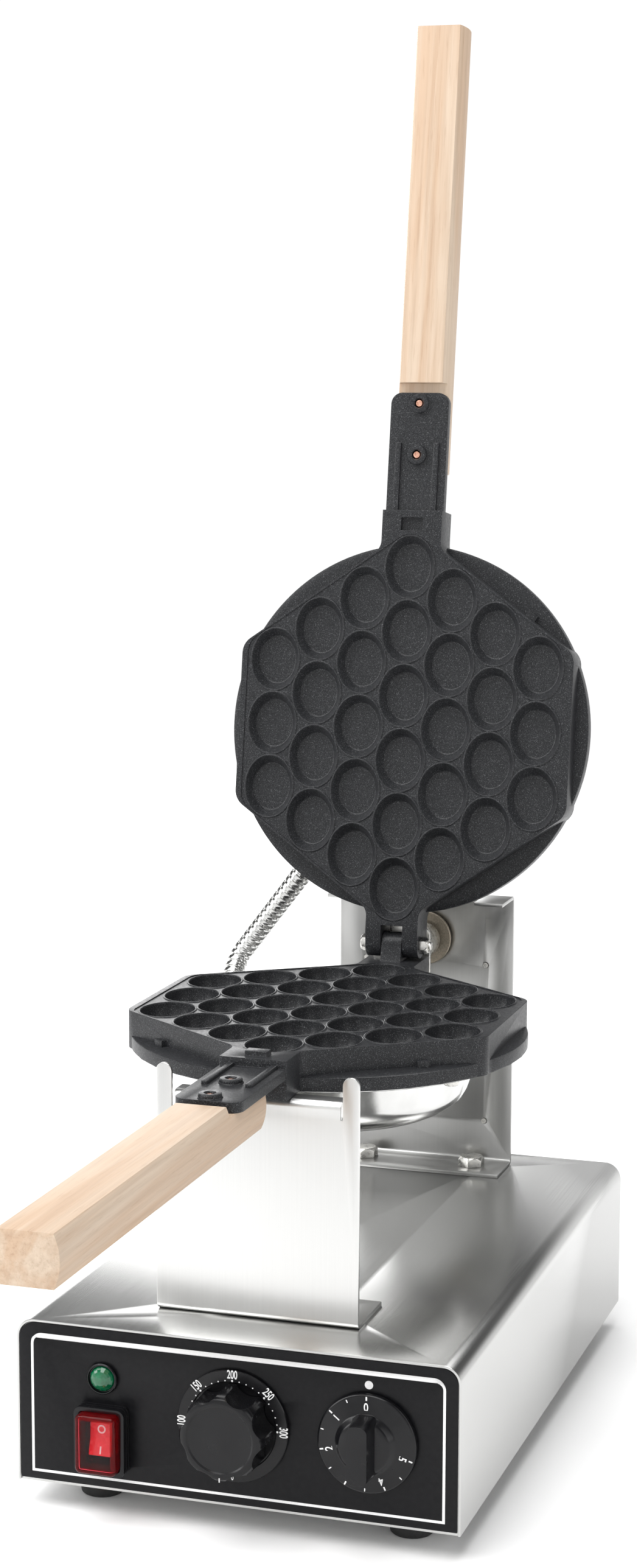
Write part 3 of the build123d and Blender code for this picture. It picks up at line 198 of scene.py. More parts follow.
# %% [markdown]
# Fixings are zinc plated and a little cloudy. The screws in the wood are coppery, and the bush is
# sintered bronze, which is dull and full of pores, so its bump is the strongest.

# %% Plated and sintered metals
zinc = finish("zinc_plate", [(0.3, (0.50, 0.50, 0.48)), (0.5, (0.66, 0.65, 0.62)),
                             (0.7, (0.74, 0.73, 0.69))],
              (0.20, 0.38), (260, 260, 260), bump=0.12, metallic=1.0)
copper = finish("copper_plate", tones((0.62, 0.30, 0.20), (0.86, 0.52, 0.40)), (0.18, 0.34),
                (700, 700, 700), bump=0.12, metallic=1.0)
bronze = finish("sintered_bronze", tones((0.20, 0.175, 0.14), (0.34, 0.30, 0.24)), (0.4, 0.55),
                (1200, 1200, 1200), bump=0.3, metallic=1.0)
print("made", [m.name for m in (zinc, copper, bronze)])

# %% [markdown]
# The plates are cast aluminium under a black non-stick coating. Close up it is a dark grey skin full
# of tiny light specks, with a slight orange-peel. Two noises make it: a fine one picks out the
# specks, and a coarser one raises the skin. One noise for both would put every speck on a bump,
# which reads as grit.

# %% Non-stick coating
cast, cast_shader = bare_material("non_stick_coating")
specks = pattern(cast, (2300, 2300, 2300), detail=2.0, rough=0.7)
skin = pattern(cast, (620, 620, 620), detail=3.0)
speck_colour = shades(cast, specks, [(0.42, (0.013, 0.0135, 0.0148)),
                                     (0.60, (0.030, 0.031, 0.0335)),
                                     (0.70, (0.14, 0.142, 0.148))])
wire(cast, speck_colour, "Color", cast_shader, "Base Color")
wire(cast, span(cast, skin, 0.28, 0.40), "Result", cast_shader, "Roughness")
skin_lift = raised(cast, skin, 0.22, 0.00012)
speck_lift = raised(cast, specks, 0.14, 0.00006)
wire(cast, skin_lift, "Normal", speck_lift, "Normal")
wire(cast, speck_lift, "Normal", cast_shader, "Normal")
cast_shader.inputs["Specular IOR Level"].default_value = 0.22
print("made", cast.name)

# %% [markdown]
# The handles are bare pale hardwood. Long fibres run along the bar, broad bands of a warmer tone
# drift across it, and short dark pores lie in the fibres. The lower handle lies along the Y axis
# and the upper one is turned by the lid's 99 degrees, so the same wood is made twice, with the
# pattern turned for the upper one.

# %% Wood
def wood_finish(name, lean):
    """Pale hardwood whose fibres run along the handle, turned by the lid's lean."""
    material, shader = bare_material(name)
    where = add_node(material, "TexCoord")
    turn = add_node(material, "Mapping", {"Rotation": (lean, 0.0, 0.0)})
    wire(material, where, "Object", turn, "Vector")
    layers = []
    for stretch, detail, distortion in (((420, 9, 420), 6.0, 0.2), ((55, 2.2, 55), 3.0, 1.2),
                                        ((1100, 60, 1100), 2.0, 0.0)):
        grain = add_node(material, "Mapping", {"Scale": stretch})
        noise = add_node(material, "TexNoise", {"Scale": 1.0, "Detail": detail, "Roughness": 0.6,
                                                "Distortion": distortion})
        wire(material, turn, "Vector", grain, "Vector")
        wire(material, grain, "Vector", noise, "Vector")
        layers.append(noise)
    fibres, bands, pores = layers
    colour = shades(material, fibres, [(0.30, (0.50, 0.385, 0.285)), (0.5, (0.575, 0.455, 0.345)),
                                       (0.72, (0.63, 0.51, 0.395))])
    warm = shades(material, bands, [(0.35, (0.90, 0.80, 0.72)), (0.60, (1.0, 1.0, 1.0))])
    dark = shades(material, pores, [(0.30, (0.62, 0.50, 0.42)), (0.42, (1.0, 1.0, 1.0))])
    for tint, share in ((warm, 1.0), (dark, 0.22)):
        mix = add_node(material, "MixRGB", {"Fac": share}, blend_type="MULTIPLY")
        wire(material, colour, "Color", mix, "Color1")
        wire(material, tint, "Color", mix, "Color2")
        colour = mix
    wire(material, colour, "Color", shader, "Base Color")
    wire(material, span(material, fibres, 0.46, 0.60), "Result", shader, "Roughness")
    wire(material, raised(material, fibres, 0.25, 0.00012), "Normal", shader, "Normal")
    return material


lid_open = math.radians(99.0)
wood_lower = wood_finish("pale_hardwood_lower", 0.0)
wood_upper = wood_finish("pale_hardwood_upper", lid_open)
print("made", wood_lower.name, "and", wood_upper.name)

# %% [markdown]
# The rest are plastics, rubber, print and mica. Moulded plastic shows a faint fine grain and a soft
# gloss, and rubber is duller and rougher. Only the splash boot lets light through: it is a clear
# red cap, and its flat window is almost colourless, so that the rocker is seen behind it. The lamp's
# lens is dark green and glossy, as an unlit one is.

# %% Opaque plastics, rubber, print and mica
near_black = tones((0.004, 0.004, 0.005), (0.007, 0.007, 0.008))
label = finish("black_print", near_black, (0.30, 0.40), (400, 400, 400), bump=0.03,
               Specular_IOR_Level=0.18)
black_plastic = finish("black_plastic", near_black, (0.20, 0.28), (160, 160, 160), bump=0.015,
                       Specular_IOR_Level=0.3)
rubber = finish("black_rubber", tones((0.012, 0.012, 0.012), (0.030, 0.030, 0.030)), (0.62, 0.80),
                (900, 900, 900), bump=0.25)
grey_plastic = finish("grey_moulding", tones((0.42, 0.42, 0.40), (0.52, 0.52, 0.50)), (0.45, 0.6),
                      (500, 500, 500), bump=0.1)
mica = finish("mica_sheet", tones((0.30, 0.24, 0.16), (0.52, 0.45, 0.33)), (0.4, 0.6),
              (160, 160, 160), bump=0.2)
white_print = finish("white_print", tones((0.78, 0.78, 0.78), (0.88, 0.88, 0.88)), (0.45, 0.55),
                     (900, 900, 900), bump=0.03)
print("made", [m.name for m in (label, black_plastic, rubber, grey_plastic, mica, white_print)])

# %% Coloured plastics
red_boot = finish("clear_red_boot", tones((0.55, 0.004, 0.010), (0.66, 0.008, 0.016)),
                  (0.10, 0.18), (200, 200, 200), bump=0.02, Transmission_Weight=0.92, IOR=1.25)
clear_window = finish("clear_boot_window", tones((0.97, 0.84, 0.84), (0.98, 0.88, 0.88)),
                      (0.03, 0.08), (200, 200, 200), bump=0.01, Transmission_Weight=1.0, IOR=1.2)
red_rocker = finish("red_rocker", tones((0.70, 0.006, 0.022), (0.80, 0.010, 0.03)), (0.22, 0.32),
                    (300, 300, 300), bump=0.02)
green_lens = finish("green_lens", tones((0.001, 0.075, 0.028), (0.002, 0.13, 0.05)), (0.08, 0.14),
                    (300, 300, 300), bump=0.02, Coat_Weight=0.5)
print("made", [m.name for m in (red_boot, clear_window, red_rocker, green_lens)])

# %% [markdown]
# The record names a slot for every node. Each slot gets its finish here, so that even a node that
# no new piece stands for, inside the housing or a cover, has a real surface.

# %% Finishes on the CAD nodes
finishes = {
    "steel": steel, "zinc": zinc, "polished": polished, "cast": cast, "label": label,
    "rubber": rubber, "wood": wood_lower, "copper": copper, "black_plastic": black_plastic,
    "grey_plastic": grey_plastic, "red_boot": red_boot, "green_lens": green_lens, "mica": mica,
    "bronze": bronze,
}
for node_name, node in nodes.items():
    for material_slot in node.material_slots:
        material_slot.material = finishes[slot_of[node_name]]
print("finishes on all", len(nodes), "nodes")

# %% [markdown]
# ## Tools for shaping
# Most pieces are turned (a ring extruded and resized along its axis), refined (the CAD mesh merged,
# cleaned and given small round edges) or cut from one another. The helpers below do these three
# jobs with the same operators that one would use by hand.

# %% Selecting
def deselect():
    if bpy.context.object and bpy.context.object.mode == "EDIT":
        bpy.ops.object.mode_set(mode="OBJECT")
    bpy.ops.object.select_all(action="DESELECT")


def pick(piece):
    deselect()
    piece.select_set(True)
    bpy.context.view_layer.objects.active = piece


def edit(piece, kind="FACE", select="DESELECT"):
    pick(piece)
    bpy.ops.object.mode_set(mode="EDIT")
    bpy.ops.mesh.select_mode(type=kind)
    bpy.ops.mesh.select_all(action=select)


def leave():
    bpy.ops.object.mode_set(mode="OBJECT")


def choose(piece, kind, test):
    """Selects the vertices, edges or faces whose middle passes a test in millimetres."""
    edit(piece, kind)
    leave()
    mesh = piece.data
    parts = {"VERT": mesh.vertices, "EDGE": mesh.edges, "FACE": mesh.polygons}[kind]
    for part in parts:
        if kind == "VERT":
            middle = part.co
        elif kind == "EDGE":
            middle = (mesh.vertices[part.vertices[0]].co + mesh.vertices[part.vertices[1]].co) / 2
        else:
            middle = part.center
        part.select = bool(test(*(middle / mm)))
    bpy.ops.object.mode_set(mode="EDIT")


# %% [markdown]
# A finished piece's object stays at the origin, so a piece is put in its place by moving its mesh.
# What repeats is modelled once and copied, and each copy has a mesh of its own.

# %% Placing, copying and joining
def place(piece, matrix):
    """Moves the mesh itself, so that the object stays at the origin."""
    piece.data.transform(matrix)
    if matrix.determinant() < 0:
        piece.data.flip_normals()
    return piece


def twin(piece, name):
    """A copy with a mesh of its own."""
    copy = piece.copy()
    copy.data = piece.data.copy()
    copy.name = copy.data.name = name
    bpy.context.scene.collection.objects.link(copy)
    return copy


def shifted(x, y, z):
    """The matrix that moves a piece by so many millimetres."""
    return Matrix.Translation(Vector((x, y, z)) * mm)


def towards(point, direction):
    """The matrix that stands a piece on a point, its axis along a direction."""
    turn = Vector((0, 0, 1)).rotation_difference(Vector(direction).normalized())
    return shifted(*point) @ turn.to_matrix().to_4x4()


def named(piece, name):
    piece.name = piece.data.name = name
    return piece


def joined(pieces, name):
    deselect()
    for piece in pieces:
        piece.select_set(True)
    bpy.context.view_layer.objects.active = pieces[0]
    bpy.ops.object.join()
    return named(pieces[0], name)


# %% [markdown]
# Holes and slots are cut with an applied boolean. Of its solvers the manifold one is fast and exact,
# but it wants closed pieces that don't cross themselves. Edges are rounded with an applied bevel, or
# in edit mode where only some of them are meant.

# %% Cutting and rounding
def combine(piece, other, operation="DIFFERENCE"):
    """Cuts, adds or keeps the overlap with another piece, which is used up."""
    pick(piece)
    modifier = piece.modifiers.new("combine", "BOOLEAN")
    modifier.operation, modifier.object, modifier.solver = operation, other, "MANIFOLD"
    bpy.ops.object.modifier_apply(modifier=modifier.name)
    bpy.data.objects.remove(other)
    return piece


def soften(piece, width, segments=2, angle=35.0):
    """Rounds the sharp edges with an applied bevel."""
    pick(piece)
    modifier = piece.modifiers.new("soften", "BEVEL")
    modifier.width, modifier.segments = width * mm, segments
    modifier.limit_method, modifier.angle_limit = "ANGLE", math.radians(angle)
    bpy.ops.object.modifier_apply(modifier=modifier.name)
    return piece


def round_edges(piece, radius, segments, test):
    """Rounds the edges whose middle passes a test in millimetres."""
    choose(piece, "EDGE", test)
    bpy.ops.mesh.bevel(offset=radius * mm, segments=segments, affect="EDGES")
    leave()
    return piece


# %% [markdown]
# Every piece ends the same way: smooth shading up to an angle, a finish and the body that it rides
# on. A piece in a CAD node's stead also takes that node's name, body and the finish of its slot,
# and hides the node.

# %% Completing a piece
def dress(piece, material, angle):
    """Shades the piece smoothly up to an angle and gives it its finish."""
    pick(piece)
    bpy.ops.object.shade_smooth_by_angle(angle=math.radians(angle))
    piece.data.materials.clear()
    piece.data.materials.append(material)


def complete(piece, material, body, angle=32.0):
    """Dresses the piece and hands it to its body."""
    dress(piece, material, angle)
    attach(piece, body)
    triangles = sum(len(p.vertices) - 2 for p in piece.data.polygons)
    print(f"{piece.name}: {triangles} triangles on {body}")
    return piece


def stand_in(piece, node_name, material=None, angle=32.0):
    """Completes a piece in a CAD node's stead, with that node's body and the finish of its slot, and
    hides the node.
    """
    slot = slot_of[node_name]
    named(piece, node_name + "_finished")
    complete(piece, material or finishes[slot], body_of[node_name], angle)
    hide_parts(node_name)
    return piece


# %% [markdown]
# A turned form could be spun from a profile. Spin leaves a seam and two poles to close, so here a
# disc is extruded upwards and resized at each step instead, which gives a closed form at once.

# %% Turned and boxed forms
def ringed(name, rings, sides=48):
    """A closed form through oval rings of (half width, half length, height) in millimetres."""
    deselect()
    half_x, half_y, height = rings[0]
    bpy.ops.mesh.primitive_circle_add(vertices=sides, radius=mm, fill_type="NGON",
                                      location=(0, 0, height * mm))
    piece = named(bpy.context.object, name)
    bpy.ops.object.transform_apply(location=True, rotation=True, scale=True)
    bpy.ops.object.mode_set(mode="EDIT")
    bpy.ops.transform.resize(value=(half_x, half_y, 1), center_override=(0, 0, height * mm))
    for next_x, next_y, next_height in rings[1:]:
        bpy.ops.mesh.extrude_region_move(
            TRANSFORM_OT_translate={"value": (0, 0, (next_height - height) * mm)})
        bpy.ops.transform.resize(value=(next_x / half_x, next_y / half_y, 1),
                                 center_override=(0, 0, next_height * mm))
        half_x, half_y, height = next_x, next_y, next_height
    bpy.ops.mesh.select_all(action="SELECT")
    bpy.ops.mesh.normals_make_consistent(inside=False)
    leave()
    return piece


def turned(name, rings, sides=64):
    """A turned form through rings of (radius, height)."""
    return ringed(name, [(r, r, z) for r, z in rings], sides)


def boxed(name, low, high, round_by=0.0, segments=3):
    """A bar between two corners with its edges rounded."""
    deselect()
    middle = [(a + b) / 2 * mm for a, b in zip(low, high)]
    size = [(b - a) * mm for a, b in zip(low, high)]
    bpy.ops.mesh.primitive_cube_add(size=1.0, location=middle, scale=size)
    piece = named(bpy.context.object, name)
    bpy.ops.object.transform_apply(location=True, rotation=True, scale=True)
    if round_by:
        round_edges(piece, round_by, segments, lambda x, y, z: True)
    return piece


# %% [markdown]
# A CAD node's mesh is loose triangles and is left alone. A copy of it is merged and its flat faces
# are joined, and then its sharp edges can be rounded, which catches the light as real edges do.

# %% Forms from CAD nodes
def merged(node_name):
    """A clean copy of a CAD node: its loose triangles are joined and its flat faces dissolved."""
    source = nodes[node_name]
    piece = source.copy()
    piece.data = source.data.copy()
    piece.parent = None
    piece.matrix_world = Matrix.Identity(4)
    named(piece, node_name + "_finished")
    bpy.context.scene.collection.objects.link(piece)
    pick(piece)
    bpy.ops.mesh.customdata_custom_splitnormals_clear()
    edit(piece, "VERT", "SELECT")
    bpy.ops.mesh.remove_doubles(threshold=0.000004)
    bpy.ops.mesh.dissolve_limited(angle_limit=math.radians(1.0))
    leave()
    return piece


def refined(node_name, width, segments=2, angle=35.0, material=None):
    """The CAD node with its sharp edges rounded."""
    return stand_in(soften(merged(node_name), width, segments, angle), node_name, material)


# %% Hexagon heads and nuts
def hexagon_head(name, flats, height, hole=0.0):
    """A hexagon nut or head with its corners turned off at the top, standing on the origin."""
    across = flats / math.cos(math.pi / 6) / 2
    head = turned(name, [(across, 0), (across, height)], 6)
    cone = turned(name + "_cone", [(across + 0.1, -0.5), (across + 0.1, height * 0.62),
                                   (flats / 2 * 0.93, height + 0.001)], 48)
    combine(head, cone, "INTERSECT")
    if hole:
        rings = [(hole, -1), (hole, height - 0.5), (hole + 0.5, height + 0.1)]
        combine(head, turned(name + "_hole", rings, 32))
    return soften(head, 0.15, 2, 25.0)


print("tools ready")

# %% [markdown]
# ## The frame of the closed iron
# Both castings are drawn shut, as a founder would draw them: the mating plane is Z = 0, the hinge
# pin stands over Y = 0 and the handles point to minus Y. One matrix puts a piece on the lower side,
# and another mirrors it, and leans it back with the open lid. What isn't mirrored on the lid, such
# as the hinge bolt, only leans back.

# %% Matrices for the two halves
hinge_y, plane_z, pin_z = 87.55, 220.0, 228.2
pan_centre = 115.85
lower_side = shifted(0, hinge_y, plane_z)
to_pin = shifted(0, hinge_y, pin_z)
mirrored = Matrix.Diagonal((1, 1, -1, 1))
upper_side = (to_pin @ Matrix.Rotation(-lid_open, 4, "X") @ to_pin.inverted() @ lower_side
              @ mirrored)
lid_side = upper_side @ mirrored
halves = (("lower", lower_side), ("upper", upper_side))
print("hinge pin at", (0, hinge_y, pin_z), "mm, lid open", round(math.degrees(lid_open)), "degrees")


def both_halves(piece, name):
    """Places a piece drawn on the closed iron on the lower side, and its twin on the upper side."""
    for side, matrix in halves:
        node_name = f"{side}_{name}"
        stand_in(place(twin(piece, node_name + "_finished"), matrix), node_name)
    bpy.data.objects.remove(piece)


# %% [markdown]
# ## The mould plates
# Each plate is one casting: a six-sided block with thirty cells, a round flange behind it, a tang in
# front and a hinge lug behind. The CAD casting has twelve-sided cells and a faceted flange, so its
# copy is kept for the outline and the lugs, and smooth cutters take out the cells again. The field
# between the cells is sunk half a millimetre, which leaves a low round lip on every cell and a fine
# edge all round, as on the real plates.

# %% Where the cells are
pitch_across, pitch_along = 24.4, 34.5
cell_half_x, cell_half_y = 13.1, 16.3
cells, groups = [], []
for column in range(-3, 4):
    count = 6 - abs(column)
    for row in range(count):
        cells.append((column * pitch_across, -pan_centre + (row - (count - 1) / 2) * pitch_along))
        groups.append(((2 * row - count + 2 + column) // 2 + column) % 3)
print(len(cells), "cells in", len(set(groups)), "groups of", groups.count(0))


def at_all_cells(shape, name, group=None):
    """Copies one cell's form to every cell, or to those of one group, as one piece."""
    copies = [place(twin(shape, f"{name}_{i}"), shifted(x, y, 0))
              for i, (x, y) in enumerate(cells) if group in (None, groups[i])]
    bpy.data.objects.remove(shape)
    return joined(copies, name)


# %% [markdown]
# A lower cell is an egg-shaped bowl, and its wall follows a superellipse, which is steeper than a
# circle and still round at the floor. An upper cell is a shallow cup with a flat floor. Both open
# through the same rounded mouth.

# %% The two shapes of cell
def cell_cutter(name, steps):
    """A cell to cut out, from (depth, scale) steps, with a rounded lip at its mouth."""
    mouth = ((0.62, 3.0), (0.62, 0.05), (0.55, -0.01), (0.34, -0.09), (0.16, -0.26), (0.05, -0.52))
    rings = [(cell_half_x + out, cell_half_y + out, z) for out, z in mouth]
    rings += [(cell_half_x * scale, cell_half_y * scale, -depth) for depth, scale in steps]
    return at_all_cells(ringed(name, rings), name)


def bowl_steps():
    """An egg-shaped bowl: a steep wall and a round floor."""
    deepest, fullness, cad_match = 13.8, 2.3, 1.003
    steps = []
    for depth in (0.9, 2.6, 4.6, 6.6, 8.4, 10.0, 11.3, 12.3, 13.0, 13.45, 13.7, 13.79):
        scale = (1 - (depth / deepest) ** fullness) ** (1 / fullness)
        steps.append((depth, scale * cad_match))
    return steps


cup_steps = [(0.9, 0.984), (3.0, 0.902), (4.7, 0.826), (5.15, 0.802), (5.38, 0.783), (5.5, 0.745)]
print("bowls", bowl_steps()[-1][0], "mm deep, cups", cup_steps[-1][0], "mm")

# %% [markdown]
# The lips of neighbouring cells would overlap, and a piece that crosses itself spoils a boolean. So
# the cells are sorted into three groups without neighbours, and each group's lips are added alone.
# They stay just under the mating plane, so only the plates' outer rims meet when the iron is shut.

# %% The field and the lips
def sunk_field():
    """The shallow six-sided field between the cells, rounded at its corners."""
    half_width, to_slant = 89.0, 87.05
    slant_x, slant_y, cos_30 = 0.577, 0.817, 0.8660254
    tip = to_slant / slant_y
    side = (to_slant - slant_x * half_width) / slant_y
    field = turned("field", [(1.0, 3.0), (1.0, -0.5)], 6)
    place(field, Matrix.Diagonal((half_width / cos_30, tip, 1, 1)))
    choose(field, "VERT", lambda x, y, z: abs(x) > half_width / 2)
    bpy.ops.transform.resize(value=(1, side / (tip / 2), 1), center_override=(0, 0, 0))
    leave()
    for tips, radius in ((False, 5.0), (True, 8.4)):
        round_edges(field, radius, 7,
                    lambda x, y, z: abs(z - 1.25) < 0.3 and (abs(x) < 1) == tips)
    return place(field, shifted(0, -pan_centre, 0))


def cell_lips(group):
    """Low round lips almost up to the mating plane, round the cells of one group."""
    steps = ((1.25, -1.5), (1.25, -0.5), (1.15, -0.28), (0.92, -0.11), (0.70, -0.04))
    rings = [(cell_half_x + out, cell_half_y + out, z) for out, z in steps]
    return at_all_cells(ringed("lip", rings), "lips", group)


# %% [markdown]
# The flange is turned smooth. The tang carries two ribs and two round bosses, and the bosses are
# bored for the screws that hold the handle.

# %% The flange and the tang
flange_radius, neck_length = 99.2, 17.5
block_end = pan_centre + flange_radius + neck_length
first_screw, screw_pitch = 30.0, 27.6
screw_rows = [-(block_end + first_screw + i * screw_pitch) for i in range(2)]
print("handle screws at", [round(y, 2) for y in screw_rows], "mm from the pin")


def round_flange():
    """The smooth round flange behind the block, dished a little towards the wall."""
    rings = [(60, -18.99), (98.8, -18.99), (99.3, -18.5), (99.35, -13.1), (99.2, -12.45),
             (98.6, -12.2), (95.0, -11.95), (84.0, -11.3), (60, -11.3)]
    return place(turned("flange", rings, 160), shifted(0, -pan_centre, 0))


def tang_details():
    """The two rounded ribs and the two bosses on the tang."""
    pieces = []
    for side in (-1, 1):
        low = (side * 10.5 - 1.6, -block_end - 36.7, -5.0)
        high = (side * 10.5 + 1.6, -block_end + 0.8, -2.3)
        pieces.append(boxed(f"rib_{side}", low, high, 0.7))
    for i, y in enumerate(screw_rows):
        boss = turned(f"boss_{i}", [(5.9, -5.0), (5.9, -3.9), (5.45, -3.5), (5.35, -2.4),
                                    (4.95, -1.85), (4.4, -1.72)], 40)
        pieces.append(place(boss, shifted(0, y, 0)))
    return joined(pieces, "tang_details")


def boss_holes():
    holes = [turned(f"hole_{i}", [(2.45, -12.0), (2.45, -2.3), (3.0, -1.6)], 32) for i in range(2)]
    return joined([place(hole, shifted(0, y, 0)) for hole, y in zip(holes, screw_rows)],
                  "boss_holes")


# %% [markdown]
# The edges of the outline, the tang and the lugs are rounded before the cells are cut, because a
# bevel over the many short edges of a cell would tangle. The edges inside a cell are left out of
# the selection by their place.

# %% Shaping the castings
def in_a_cell(x, y, margin=0.4):
    return any(((x - cell_x) / (cell_half_x + margin)) ** 2
               + ((y - cell_y) / (cell_half_y + margin)) ** 2 < 1 for cell_x, cell_y in cells)


def casting(side, matrix, steps, back_z=-12.4):
    """One mould plate: the CAD casting with smooth cells, lips, flange and bosses."""
    piece = place(merged(f"{side}_mould_plate"), matrix.inverted())
    edit(piece, "EDGE")
    bpy.ops.mesh.edges_select_sharp(sharpness=math.radians(38))
    leave()
    mesh = piece.data
    for line in mesh.edges:
        middle = (mesh.vertices[line.vertices[0]].co + mesh.vertices[line.vertices[1]].co) / 2 / mm
        if in_a_cell(middle.x, middle.y) or middle.z < back_z:
            line.select = False
    bpy.ops.object.mode_set(mode="EDIT")
    bpy.ops.mesh.bevel(offset=0.55 * mm, segments=3, affect="EDGES", clamp_overlap=True)
    leave()
    combine(piece, sunk_field())
    for group in range(3):
        combine(piece, cell_lips(group), "UNION")
    combine(piece, round_flange(), "UNION")
    combine(piece, tang_details(), "UNION")
    combine(piece, boss_holes())
    combine(piece, cell_cutter(f"{side}_cells", steps))
    return stand_in(place(piece, matrix), f"{side}_mould_plate", angle=30.0)


casting("lower", lower_side, bowl_steps())
casting("upper", upper_side, cup_steps)

# %% [markdown]
# ## Covers behind the plates
# Each plate's heater is closed in by a pressed and polished steel dish with a flat rim. It is drawn
# as one thin closed shell, outside first and then back along the inside, so that its rim has a
# rounded edge. A Solidify modifier would give the wall as well, but not the edge's own shape. Six
# small nuts hold it.

# %% Covers and their nuts
dish = turned("dish", [
    (2, -51), (50, -51), (57.5, -49.9), (63.6, -46.9), (67.9, -42.9), (70.2, -38.2), (75.6, -22.2),
    (76.4, -20.7), (78.2, -20.05), (96.6, -20.0), (97.0, -19.7), (97.0, -19.25), (96.6, -19.05),
    (77.0, -19.05), (75.4, -20.2), (74.6, -22.0), (69.2, -38.0), (67.0, -42.4), (63.0, -46.0),
    (57.2, -48.8), (50, -50), (2, -50)], 128)
place(dish, shifted(0, -pan_centre, 0))
both_halves(dish, "cover")

nut_ring, nut_circle = [], 86.7
nut_shape = hexagon_head("cover_nut", 7.0, 4.4)
for i in range(6):
    angle = math.radians(60 * (i + 0.5))
    x, y = nut_circle * math.cos(angle), -pan_centre + nut_circle * math.sin(angle)
    nut_ring.append(place(twin(nut_shape, f"cover_nut_{i}"), towards((x, y, -20.0), (0, 0, -1))))
bpy.data.objects.remove(nut_shape)
both_halves(joined(nut_ring, "nuts"), "cover_nuts")

# %% [markdown]
# ## Wooden handles
# A handle is a bar with barrel-shaped sides, sanded over, with a rebate that takes the tang. The CAD
# bar already has that shape, so its copy gets well-rounded edges. Coppery screws come up through
# the bosses, and their heads sit in counterbores in the wood.

# %% Handles and their screws
refined("lower_handle", 1.5, 4, 40.0)
refined("upper_handle", 1.5, 4, 40.0, wood_upper)

screws = []
for i, y in enumerate(screw_rows):
    screw = turned(f"screw_{i}", [(1.0, -25.9), (3.4, -25.9), (3.9, -25.4), (3.95, -23.6),
                                  (2.1, -23.3), (2.1, -3.1), (1.7, -2.55), (0.8, -2.4)], 28)
    combine(screw, boxed(f"slot_{i}", (-0.5, -5, -27), (0.5, 5, -25.0)))
    screws.append(place(screw, shifted(0, y, 0)))
both_halves(joined(screws, "screws"), "handle_screws")

# %% [markdown]
# ## Hinge bolt, pivot and bush
# A long hexagon bolt joins fork and knuckle. Behind it a square plate with a thick hollow shaft turns
# in a flanged bush in the rear bracket. All of them are round about one axis, so they are turned
# standing up and then laid along it.

# %% Hinge bolt and nut
pin_up = 8.2
head = place(hexagon_head("bolt_head", 8.0, 3.8), towards((-14.6, 0, pin_up), (-1, 0, 0)))
shank = place(turned("shank", [(2.45, 0), (2.45, 34.6), (2.0, 35.1)], 32),
              towards((-14.5, 0, pin_up), (1, 0, 0)))
stand_in(place(joined([head, shank], "bolt"), lid_side), "hinge_bolt")
nut = place(hexagon_head("nut", 8.0, 4.6, 2.6), towards((14.6, 0, pin_up), (1, 0, 0)))
stand_in(place(nut, lid_side), "hinge_nut")

# %% Pivot plate and shaft
plate_y, plate_thick = hinge_y + 12.47, 3.0
plate_front = towards((0, plate_y, plane_z), (0, 1, 0))
plate = boxed("pivot_plate", (-16, plate_y, plane_z - 16),
              (16, plate_y + plate_thick, plane_z + 16))
round_edges(plate, 5, 8, lambda x, y, z: abs(x) > 15 and abs(z - plane_z) > 15)
soften(plate, 0.4, 2, 40.0)
shaft = turned("shaft", [(9.9, 1.0), (10.9, 3.2), (9.95, 4.4), (9.95, 43.0), (9.5, 43.5),
                         (8.0, 43.6), (8.0, 61.6), (7.5, 62.0)], 48)
combine(plate, place(shaft, plate_front), "UNION")
combine(plate, place(turned("bore", [(4.0, -5), (4.0, 70)], 32), plate_front))
stand_in(plate, "pivot_shaft")

# %% Screws in the pivot plate, and the bush
pivot_heads = []
for x in (-11, 11):
    pan_head = turned(f"pivot_head_{x}", [(1.9, -8.0), (1.9, 0.0), (3.4, 0.05), (3.4, 0.7),
                                          (2.9, 1.4), (1.9, 1.8)], 32)
    combine(pan_head, boxed("cross", (-0.4, -4, 1.1), (0.4, 4, 3)))
    spot = (x, plate_y + plate_thick, plane_z - 10.5)
    pivot_heads.append(place(pan_head, towards(spot, (0, 1, 0))))
stand_in(joined(pivot_heads, "pivot_heads"), "pivot_screws")

bush_front = towards((0, 146.85, plane_z), (0, 1, 0))
bush = turned("bush", [(10.9, 0), (14.6, 0), (15.0, 0.4), (15.0, 2.0), (14.6, 2.4), (10.95, 2.45),
                       (10.95, 5.9)], 64)
place(bush, bush_front)
combine(bush, place(turned("bush_bore", [(8.1, -5), (8.1, 20)], 48), bush_front))
stand_in(bush, "pivot_bush")

# %% [markdown]
# ## The banded conduit
# A flexible metal conduit carries the wires from the lower plate's cover to the lid's. It is wound
# from strip, which shows as bright bands with a dark gap between. One band is turned, repeated
# along a line with an array, and laid on a smooth curve from gland to gland. It bends as the lid
# shuts.

# %% The conduit's line
route = [(-42.537, 26.145, 184.5), (-53.145, 39.723, 184.5), (-70.0, 59.6, 185.2),
         (-88.328, 81.135, 186.106), (-98.04, 92.56, 186.56), (-99.60, 114.05, 207.38),
         (-90.814, 115.547, 219.447), (-72.0, 118.8, 245.3), (-54.026, 121.831, 270.01),
         (-42.537, 124.12, 284.579)]
line_data = bpy.data.curves.new("conduit_route", "CURVE")
line_data.dimensions = "3D"
line_data.resolution_u = 24
spline = line_data.splines.new("NURBS")
spline.points.add(len(route) - 1)
for point, (x, y, z) in zip(spline.points, route):
    point.co = (x * mm, y * mm, z * mm, 1.0)
spline.order_u, spline.use_endpoint_u = 3, True
line = bpy.data.objects.new("conduit_route", line_data)
bpy.context.scene.collection.objects.link(line)
conduit_length = spline.calc_length() / mm
band_count = round(conduit_length / 4.0)
pitch = conduit_length / band_count
print("conduit", round(conduit_length, 1), "mm in", band_count, "bands")

